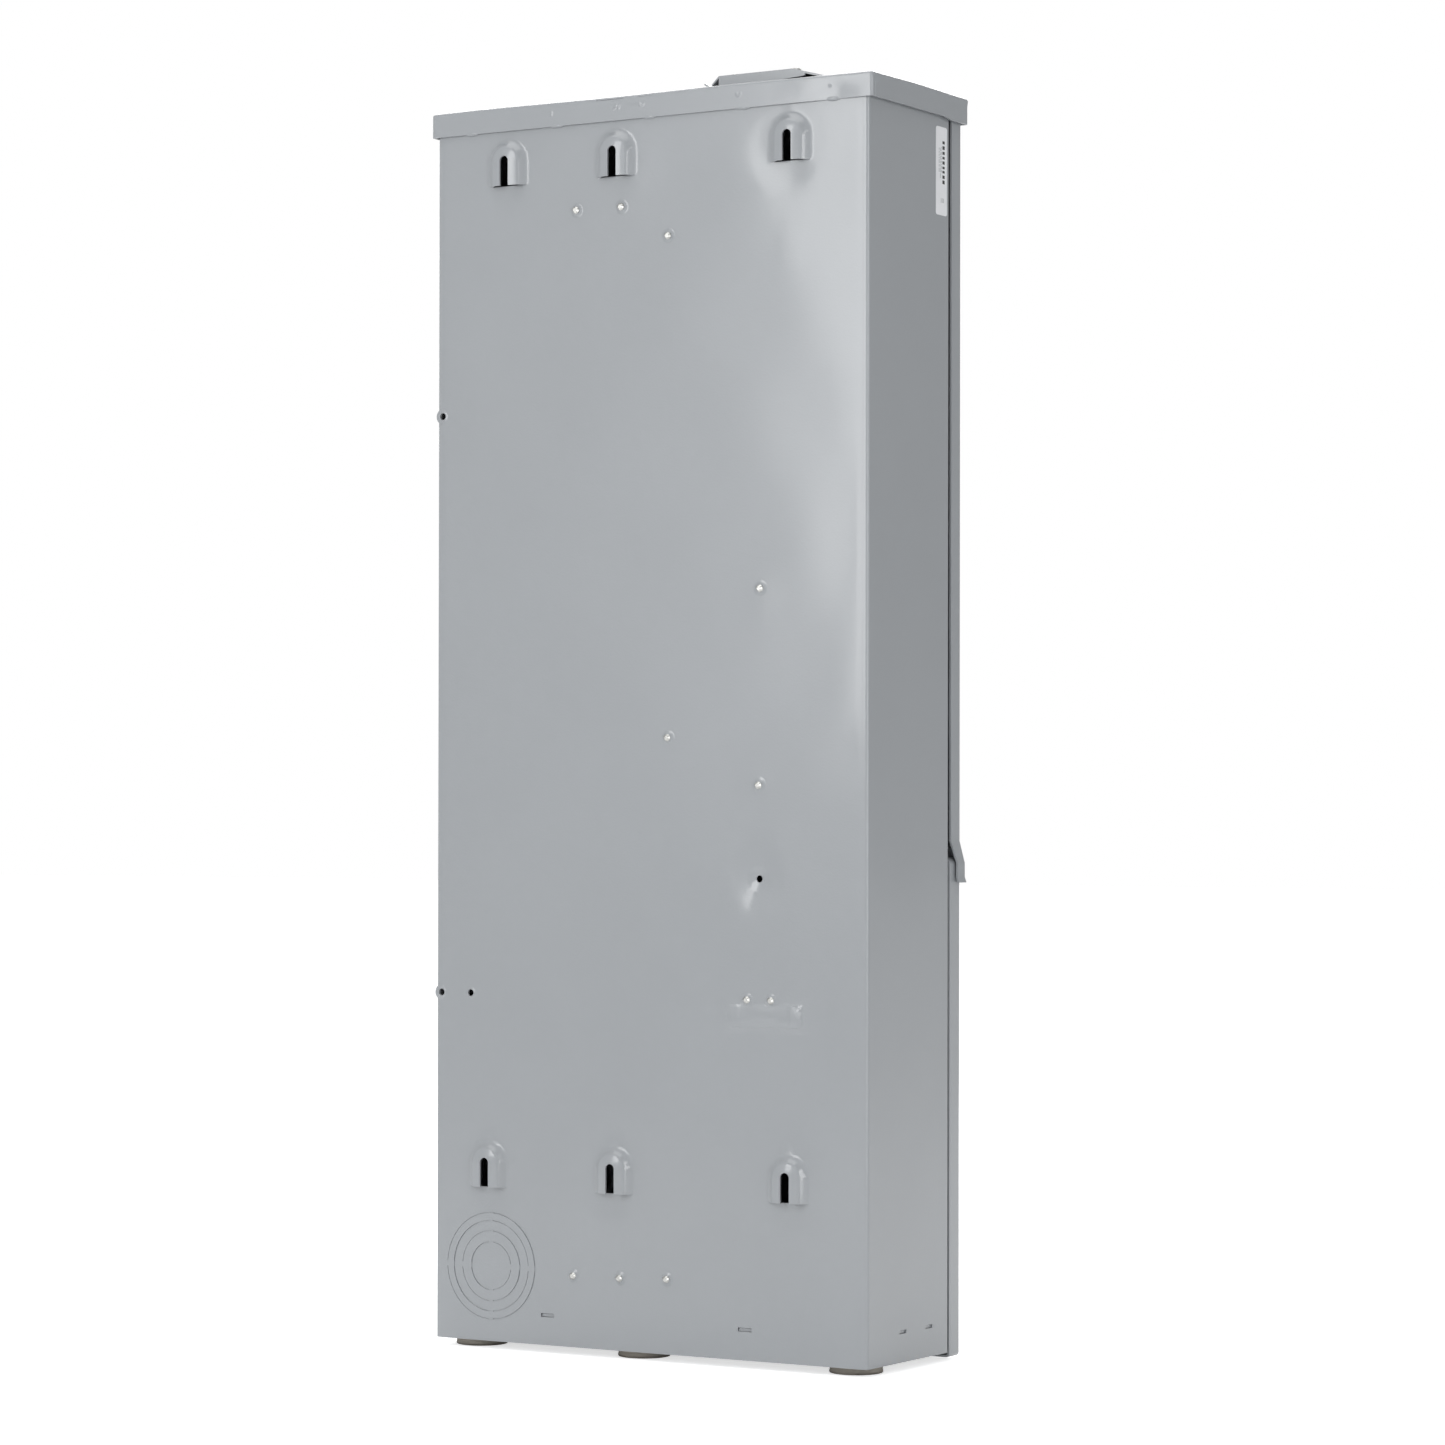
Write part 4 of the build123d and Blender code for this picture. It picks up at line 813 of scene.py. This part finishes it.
def shapeLedge(bm):
    ledge = boxValues["ledge"]
    midX, midZ = ledge["middle"]
    halfX, halfZ = ledge["half"]
    near, far = ledge["heights"]
    start, length = ledge["fall"]
    raised = []
    for vert in bm.verts:
        x, y, z = vert.co
        if abs(x - midX) < halfX and abs(z - midZ) < halfZ and y > backY - 1e-5:
            along = smoothStep((x - midX - start) / length)
            uneven = sum(size * math.sin(x / long + phase) for size, long, phase in ledge["ripples"])
            vert.co.y = backY + (y - backY) * (near + (far - near) * along + uneven)
            raised.append(vert)
    for _ in range(ledge["softening"]):
        bmesh.ops.smooth_vert(
            bm, verts=raised, factor=0.5, use_axis_x=False, use_axis_y=True, use_axis_z=False,
        )


def sideOffset(y, z):
    byBack, byDoor, below, above = boxValues["sideRim"]
    edge = min(backY - byBack - y, y - frontY - byDoor, z - boxLow.z - below, boxHigh.z - above - z)
    return waveAt(boxValues["sideWaves"], y, z) * smoothStep(edge / boxValues["rimFade"])


def footPlaces():
    # the middle of each wall foot's shear line, read off the box's back
    places = []
    faces = [v.co for v in nodes["back_box"].data.vertices if v.co.y > boxHigh.y - 1e-5]
    for row in boxValues["footRows"]:
        near = sorted((c for c in faces if abs(c.z - row) < 0.06), key=lambda c: c.x)
        group = [near[0]]
        for point in near[1:] + [None]:
            if point is None or point.x - group[-1].x > 0.03:
                places.append(((group[0].x + group[-1].x) / 2, min(c.z for c in group)))
                group = []
            group.append(point)
    return places


wallFeet = footPlaces()


def makeBox():
    v = boxValues
    bm = meshOf("back_box")
    flatX = sideX - v["bend"]
    rollWidth, rollDepth = v["edgeRoll"]
    rollCuts = [flatX - rollWidth * share for share in (0, 0.2, 0.4, 0.6, 0.8, 1)]
    cutAlong(bm, 2, steps(boxLow.z, boxHigh.z, v["grid"]))
    cutAlong(bm, 0, steps(-sideX, sideX, v["grid"]) + [s * x for x in rollCuts for s in (-1, 1)])
    cutAlong(bm, 1, steps(frontY, backY, v["grid"]) + [backY - v["bend"], frontY + v["bend"]])
    wall = (backY - 0.004, boxHigh.y + 0.001)
    above, half = v["footWindow"]
    for x, z in wallFeet:
        refineBack(bm, x, z + above, half, v["fineGrid"], wall)
    for x, z, half in v["windows"]:
        refineBack(bm, x, z, half, v["windowGrid"], wall)
    for vert in bm.verts:
        shapeFoot(vert)
    shapeLedge(bm)
    for vert in bm.verts:
        x, y, z = vert.co
        if y > backY - v["wall"]:
            roll = rollDepth * max(0.0, 1.0 - max(0.0, flatX - abs(x)) / rollWidth) ** 2
            vert.co.y += backOffset(x, z) - roll
        elif abs(x) > sideX - v["wall"]:
            vert.co.x += math.copysign(sideOffset(y, z), x)
    bmesh.ops.triangulate(bm, faces=[f for f in bm.faces if len(f.verts) > 4])
    piece = finishPiece(bm, "boxShell", "enclosure", "grey_paint")
    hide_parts("back_box")
    print("box made,", len(piece.data.polygons), "faces")


# what shows of the screws through the back

tipValues = {
    "nodes": ("pan_screws", "ground_lug_screws", "ground_bar_mounting_screws"),
    "collar": (0.00245, 0.0050, 0.00105),    # metal pulled up at a screw: hole, reach, height
    "rim": (0.0025, 0.0042, 0.00030),        # a punched hole has only a slight lip
    "skirt": 0.0016,             # a collar's thin edge runs on this far past its reach
    "bury": 0.0004,              # and everything ends this deep in the sheet
    "spareHoles": ((0.1775, 0.6834), (0.1775, 0.2598), (0.1515, 0.2598)),
    "threadRoot": 0.0023,
    "threadDepth": 0.00034,
    "threadPitch": 0.00106,
    "threadSpan": (0.0003, 0.0009),  # bare shank: by the sheet, and in all
}


def screwTips():
    places = []
    for node in tipValues["nodes"]:
        for low, high in solidBoxes(node):
            places.append((Vector(((low.x + high.x) / 2, backY, (low.z + high.z) / 2)), high.y - backY))
    return places


def makeScrewCollars():
    v = tipValues
    bm = bmesh.new()
    collars = [(place, v["collar"]) for place, _ in screwTips()]
    collars += [(Vector((x, backY, z)), v["rim"]) for x, z in v["spareHoles"]]
    for place, (hole, reach, height) in collars:
        sheetAt = place + Vector((0, backOffset(place.x, place.z), 0))
        inner, outer = hole + 0.00002, reach + v["skirt"]
        profile = [
            (outer, -0.0001), (reach, 0.00004), (hole + 0.0012, height * 0.45),
            (hole + 0.0006, height * 0.9), (hole + 0.0002, height), (inner, height * 0.7),
            (inner, -v["bury"]), (outer, -v["bury"]), (outer, -0.0001),
        ]
        spinRound(bm, profile, sheetAt, (0, 1, 0), 28)
    tidySpun(bm)
    finishPiece(bm, "screwCollars", "enclosure", "grey_paint", sharp=50)


def makeScrewThreads():
    # the turns of thread that stand out past the sheet
    v = tipValues
    bm = bmesh.new()
    pitch, root = v["threadPitch"], v["threadRoot"]
    half = pitch * 0.42
    first, bare = v["threadSpan"]
    corners = [(root, -half), (root + v["threadDepth"], 0.0), (root, half)]
    for place, out in screwTips():
        start = place + Vector((0, first, 0))
        turns = max(1, int((out - bare) / pitch))
        verts = [bm.verts.new(start + Vector((r, along + half, 0))) for r, along in corners]
        face = bm.faces.new(verts)
        bmesh.ops.spin(
            bm, geom=[face], cent=start, axis=(0, 1, 0), dvec=(0, pitch / 20, 0),
            angle=2 * math.pi * turns, steps=20 * turns, use_merge=False, use_duplicate=False,
        )
    tidySpun(bm)
    finishPiece(bm, "screwThreads", "enclosure", "zinc_screw", sharp=25)
    print("screw collars and threads made")


# cap, with its weld marks and folded corners

capLow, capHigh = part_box("top_cap")
capValues = {
    # scars of spot welds: place along the skirt, slant, and length of the raised stroke
    "backWelds": (
        (0.0809, 0.1, 0.0058), (0.0262, -0.9, 0.0066), (0.0228, -0.6, 0.0042), (0.0046, 0.7, 0.0050),
        (0.0020, -0.5, 0.0036), (-0.0768, 0.8, 0.0046), (-0.0790, -0.6, 0.0040), (-0.1525, 0.5, 0.0040),
    ),
    "weldWidth": 0.0011,
    "weldRaise": 0.00050,
    "weldUp": 0.0095,            # their middle above the skirt's lower edge
    "weldWindow": (0.0080, 0.0007),  # half size and mesh size round them
    "grid": 0.012,
    "skirtCuts": (0.0035, 0.0070, 0.0105, 0.0140),
    "bend": 0.0031,
    "wall": 0.0022,              # both faces of a skirt lie within this of its outside
    "roofUp": 0.0145,            # above the skirt's lower edge
    "roofWaves": ((0.0003, 0.21, 0.13, 0.7),),
    "tackSize": (0.0060, 0.0017, 0.0016),
    "tacks": (0.1513, 0.0768, -0.0029, -0.0818, -0.1542),
    "seamAt": 0.0036,            # folded seam of a side skirt, from the cap's back
    "seamWidth": 0.0009,
    "seamDepth": 0.0007,
    "seamCuts": (0.0046, 0.0039, 0.0032, 0.0025),
    "jogAt": (-0.0309, -0.0398),     # where the side skirts step down over the covers
    "jogDown": 0.0014,
    "jogIn": 0.0005,
    "dents": (
        (-0.158, 0.893, 0.020, 0.012, -0.00080), (-0.134, 0.900, 0.018, 0.010, 0.00035),
        (0.120, 0.897, 0.050, 0.012, -0.00020),
    ),
}


def weldScars(x, z, weldZ):
    # how far the welds' scars raise the back skirt at a place
    v = capValues
    raised = 0.0
    for weldX, slant, length in v["backWelds"]:
        along = (x - weldX) * math.sin(slant) + (z - weldZ) * math.cos(slant)
        aside = (x - weldX) * math.cos(slant) - (z - weldZ) * math.sin(slant) + 45.0 * along**2
        raised += halfWave(abs(along), length / 2) * halfWave(abs(aside), v["weldWidth"])
    return raised * v["weldRaise"]


def makeCap():
    v = capValues
    bm = meshOf("top_cap")
    bend, grid = v["bend"], v["grid"]
    cutAlong(bm, 0, steps(capLow.x, capHigh.x, grid) + [s * (capHigh.x - bend) for s in (-1, 1)])
    cutAlong(bm, 1, steps(capLow.y, capHigh.y, grid) + [capLow.y + bend, capHigh.y - bend, *v["jogAt"]])
    cutAlong(bm, 2, [capLow.z + up for up in v["skirtCuts"]])
    outside = (capHigh.y - 0.0025, capHigh.y + 0.001)
    weldZ = capLow.z + v["weldUp"]
    for x in sorted({round(weld[0], 2) for weld in v["backWelds"]}):
        refineBack(bm, x, weldZ, *v["weldWindow"], outside)
    for side in (-1, 1):
        corner = [f for f in bm.faces if abs(f.calc_center_median().x - side * capHigh.x) < 0.012]
        corner = [f for f in corner if f.calc_center_median().y > capHigh.y - 0.012]
        cutAlong(bm, 1, [capHigh.y - back for back in v["seamCuts"]], corner)
    jogStart, jogEnd = v["jogAt"]
    lowerEdge = capLow.z + 0.002
    for vert in bm.verts:
        x, y, z = vert.co
        skirt = smoothStep((capLow.z + v["roofUp"] + 0.001 - z) / 0.004)
        if y > capHigh.y - v["wall"]:
            vert.co.y += weldScars(x, z, weldZ)
            for dentX, dentZ, across, up, depth in v["dents"]:
                vert.co.y += depth * halfWave(math.hypot((x - dentX) / across, (z - dentZ) / up), 1.0)
        if abs(x) > capHigh.x - v["wall"] and skirt > 0:
            pressed = smoothStep((jogStart - y) / (jogStart - jogEnd))
            seam = halfWave(abs(y - (capHigh.y - v["seamAt"])), v["seamWidth"])
            inwards = (v["jogIn"] * pressed + v["seamDepth"] * seam) * skirt
            vert.co.x -= math.copysign(inwards, x)
            if z < lowerEdge and y < jogStart:
                vert.co.z -= v["jogDown"] * pressed
        elif z < lowerEdge and y < capLow.y + 0.004:
            vert.co.z -= v["jogDown"]
        if z > capHigh.z - 0.012 and skirt == 0:
            vert.co.z += waveAt(v["roofWaves"], x, y)
    bmesh.ops.triangulate(bm, faces=[f for f in bm.faces if len(f.verts) > 4])
    piece = finishPiece(bm, "capShell", "enclosure", "grey_paint")
    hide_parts("top_cap")


def makeCapTacks():
    # short welds that close the gap under the cap's back skirt
    bm = bmesh.new()
    for x in capValues["tacks"]:
        made = bmesh.ops.create_uvsphere(bm, u_segments=20, v_segments=12, radius=1.0)
        bmesh.ops.scale(bm, vec=capValues["tackSize"], verts=made["verts"])
        bmesh.ops.translate(bm, vec=(x, backY + 0.0006, capLow.z + 0.0005), verts=made["verts"])
    finishPiece(bm, "capTacks", "enclosure", "grey_paint")
    print("cap made")


# covers: pressed sheet is never quite flat

coverValues = {
    "grid": 0.012,
    "bend": 0.0032,
    "front": 0.009,              # the front panel and its lip lie within this of the front
    "rim": (0.003, 0.02),        # flat margin, and how far the waves take to grow
    "waves": ((0.00022, 0.27, 0.38, 0.9), (0.00012, 0.13, 0.19, 2.2)),
    "flangeWaves": ((0.0005, 0.9, 0.052, 0.3), (0.00025, 0.7, 0.029, 1.4)),
    "flangeSpan": (0.43, 0.61),      # rough stretch of the upper cover's side flange
}


def makeCover(node, name, body, wavy):
    v = coverValues
    low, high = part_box(node)
    bm = meshOf(node)
    bends = [low.x + v["bend"], high.x - v["bend"]]
    cutAlong(bm, 0, steps(low.x, high.x, v["grid"]) + bends)
    cutAlong(bm, 2, steps(low.z, high.z, v["grid"]))
    flat, fade = v["rim"]
    start, end = v["flangeSpan"]
    for vert in bm.verts:
        x, y, z = vert.co
        rim = min(x - low.x, high.x - x, z - low.z, high.z - z)
        if y < low.y + v["front"] and rim > flat:
            vert.co.y += abs(waveAt(v["waves"], x, z)) * smoothStep((rim - flat) / fade)
        elif wavy and x < low.x + 0.006:
            share = smoothStep((z - start) / 0.02) * smoothStep((end - z) / 0.02)
            vert.co.x += abs(waveAt(v["flangeWaves"], y, z)) * share
    bmesh.ops.triangulate(bm, faces=[f for f in bm.faces if len(f.verts) > 4])
    piece = finishPiece(bm, name, body, "grey_paint")
    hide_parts(node)


# rubber feet

footValues = {
    "lip": 0.0011,
    "waist": 0.0004,
    "dish": 0.0006,              # hollow in the underside
    "socket": (0.0046, 0.0022),  # recess for the fixing rivet: radius, depth
}


def makeFeet():
    v = footValues
    bm = bmesh.new()
    lip, dish, waist = v["lip"], v["dish"], v["waist"]
    socket, deep = v["socket"]
    for low, high in solidBoxes("feet"):
        r = (high.x - low.x) / 2
        h = high.z
        profile = [
            (0.0, deep), (socket - 0.0006, deep), (socket, deep - 0.0006), (socket + 0.0004, dish),
            (r * 0.8, dish), (r * 0.86, 0.0), (r - lip, 0.0), (r - 0.4 * lip, 0.00018),
            (r, lip * 0.9), (r - waist, 0.0027), (r - waist, h - 0.0016),
            (r - 0.0002, h - 0.0008), (r - 0.0005, h - 0.0001), (r - 0.0008, h), (0.0, h),
        ]
        spinRound(bm, profile, ((low.x + high.x) / 2, (low.y + high.y) / 2, 0), (0, 0, 1), 56)
    tidySpun(bm)
    piece = finishPiece(bm, "rubberFeet", "enclosure", "foot_rubber", sharp=40)
    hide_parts("feet")
    print("feet made")


# print on labels, and stamped circuit numbers

def addBar(bm, low, high):
    made = bmesh.ops.create_cube(bm, size=1.0)
    size = [max(1e-6, high[i] - low[i]) for i in range(3)]
    bmesh.ops.scale(bm, vec=size, verts=made["verts"])
    bmesh.ops.translate(bm, vec=[(high[i] + low[i]) / 2 for i in range(3)], verts=made["verts"])


labelValues = {
    "film": 0.00006,             # ink stands this far off the label
    "heavyRow": 0.0052,          # distance from the label's front edge
    "fineRows": (0.0082, 0.0100, 0.0118),
    "margin": (0.010, 0.009),    # above and below the print
    "heavyHalf": 0.0016,
    "heavyTall": (0.0016, 0.0026),
    "heavyGap": (0.0012, 0.0017),
    "fineHalf": 0.00035,
    "fineTall": (0.0008, 0.0034),
    "fineGap": 0.0007,
    "block": (3, 0.0018, 0.0004, 0.0032),    # bars at the foot: how many, pitch, half width, height
    "seed": 11,
}


def makeLabelPrint():
    # a row of heavy strokes, finer rows and a short block: no words
    v = labelValues
    draw = random.Random(v["seed"])
    low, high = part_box("side_label")
    face = (low.x - v["film"], low.x)
    top, bottom = high.z - v["margin"][0], low.z + v["margin"][1]
    heavy, fine = bmesh.new(), bmesh.new()
    z = top
    y, half = low.y + v["heavyRow"], v["heavyHalf"]
    while z > bottom + 0.012:
        tall = draw.uniform(*v["heavyTall"])
        addBar(heavy, (face[0], y - half, z - tall), (face[1], y + half, z))
        z -= tall + draw.uniform(*v["heavyGap"])
    half = v["fineHalf"]
    for row in v["fineRows"]:
        z = top - draw.uniform(0.001, 0.006)
        end = bottom + draw.uniform(0.014, 0.026)
        while z > end:
            tall = draw.uniform(*v["fineTall"])
            y = low.y + row
            addBar(fine, (face[0], y - half, z - tall), (face[1], y + half, z))
            z -= tall + v["fineGap"]
    count, pitch, half, tall = v["block"]
    for i in range(count):
        y = low.y + v["heavyRow"] + pitch * i
        addBar(fine, (face[0], y - half, bottom), (face[1], y + half, bottom + tall))
    finishPiece(heavy, "labelHeavyPrint", "enclosure", "label_white", blackInk)
    finishPiece(fine, "labelFinePrint", "enclosure", "label_white", greyInk)


cardValues = {
    "rows": 16,
    "thick": 0.00025,            # half the width of a rule
    "raise": 0.00006,
    "margins": (0.008, 0.030, 0.015),    # at the sides, above, below
    "numberColumn": 0.012,
}


def makeCardPrint():
    # ruled lines of the circuit directory
    v = cardValues
    low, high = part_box("directory_card")
    bm = bmesh.new()
    y = (high.y, high.y + v["raise"])
    rows, thick = v["rows"], v["thick"]
    side, above, below = v["margins"]
    left, right, top, bottom = low.x + side, high.x - side, high.z - above, low.z + below
    for i in range(rows + 1):
        z = top - i * (top - bottom) / rows
        addBar(bm, (left, y[0], z - thick), (right, y[1], z + thick))
    middle, column = (left + right) / 2, v["numberColumn"]
    for x in (left, left + column, middle, middle + column, right):
        addBar(bm, (x - thick, y[0], bottom), (x + thick, y[1], top))
    finishPiece(bm, "cardRules", "door", "card_white", greyInk)


numberValues = {"height": 0.0062, "thick": 0.00008, "gap": 0.0055, "spaces": 8}


def addNumber(bm, words, place, height, thick):
    curve = bpy.data.curves.new("number", "FONT")
    curve.body = words
    curve.size = height * 1.4
    curve.extrude = thick / 2
    curve.align_x, curve.align_y = "CENTER", "CENTER"
    curve.resolution_u = 3
    text = bpy.data.objects.new("number", curve)
    bpy.context.scene.collection.objects.link(text)
    bpy.context.view_layer.update()
    mesh = bpy.data.meshes.new_from_object(text.evaluated_get(bpy.context.evaluated_depsgraph_get()))
    mesh.transform(Matrix.Translation(place) @ Euler((math.radians(90), 0, 0)).to_matrix().to_4x4())
    bm.from_mesh(mesh)
    bpy.data.objects.remove(text)
    bpy.data.curves.remove(curve)
    bpy.data.meshes.remove(mesh)


def makeCircuitNumbers():
    # odd numbers down the left, even down the right, beside each breaker space
    v = numberValues
    bm = bmesh.new()
    fillers = solidBoxes("filler_plates")
    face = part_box("dead_front")[0].y - v["thick"] / 2
    lowest, highest = min(b[0].z for b in fillers), max(b[1].z for b in fillers)
    pitch = (highest - lowest) / (v["spaces"] / 2)
    sides = (min(b[0].x for b in fillers), max(b[1].x for b in fillers))
    for side, x in enumerate(sides):
        out = v["gap"] if side else -v["gap"]
        for space in range(v["spaces"]):
            z = lowest + pitch * (v["spaces"] - space - 0.5)
            addNumber(bm, str(2 * space + 1 + side), Vector((x + out, face, z)), v["height"], v["thick"])
    bmesh.ops.remove_doubles(bm, verts=bm.verts, dist=1e-6)
    finishPiece(bm, "circuitNumbers", "enclosure", "grey_paint", blackInk)


markValues = {
    "busX": 0.021,               # the line between the two columns of breakers
    "noseOut": 0.027,            # from that line to the middle of a breaker's nose
    "spread": 0.0121,            # from there to either mark
    "tallCase": 0.04,            # a taller case has two poles, and marks on the upper one
    "poleDown": 0.0127,
    "raise": 0.00006,
    "stroke": (0.0003, 0.0017),  # half width and half height
    "ring": (0.0012, 0.0017),    # inner and outer radius
    "mainStroke": (0.0005, 0.0020),
    "mainRing": (0.0014, 0.0021),
    "mainHeights": (0.7408, 0.7042),     # of the stroke and of the ring
}


def addMark(bm, x, y, z, stroke):
    half, tall = stroke
    addBar(bm, (x - half, y - markValues["raise"], z - tall), (x + half, y, z + tall))


def addRing(bm, x, y, z, radii, turns):
    (inner, outer), up = radii, markValues["raise"]
    ring = [(inner, 0.0), (outer, 0.0), (outer, up), (inner, up), (inner, 0.0)]
    spinRound(bm, ring, (x, y, z), (0, -1, 0), turns)


def makeHandleMarks():
    # a stroke for on and a ring for off, on each breaker's nose
    v = markValues
    bm = bmesh.new()
    for number in range(1, 7):
        low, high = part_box(f"branch_case_{number}")
        inner = 1 if abs(low.x - v["busX"]) < abs(high.x - v["busX"]) else -1
        nose = v["busX"] + inner * v["noseOut"]
        z = (low.z + high.z) / 2
        if high.z - low.z > v["tallCase"]:
            z = high.z - v["poleDown"]
        addMark(bm, nose - inner * v["spread"], low.y, z, v["stroke"])
        addRing(bm, nose + inner * v["spread"], low.y, z, v["ring"], 20)
    low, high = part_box("main_breaker_case")
    middle = (low.x + high.x) / 2
    strokeZ, ringZ = v["mainHeights"]
    addMark(bm, middle, low.y, strokeZ, v["mainStroke"])
    addRing(bm, middle, low.y, ringZ, v["mainRing"], 24)
    tidySpun(bm)
    finishPiece(bm, "switchMarks", "enclosure", "breaker_black", whiteInk)
    print("print and numbers made")


makeCamera()
makeStudio()
dressNodes()
makeBox()
makeScrewCollars()
makeScrewThreads()
makeCap()
makeCapTacks()
makeCover("upper_cover", "upperCoverShell", "enclosure", True)
makeCover("lower_cover", "lowerCoverShell", "lower_cover", False)
makeFeet()
makeLabelPrint()
makeCardPrint()
makeCircuitNumbers()
makeHandleMarks()
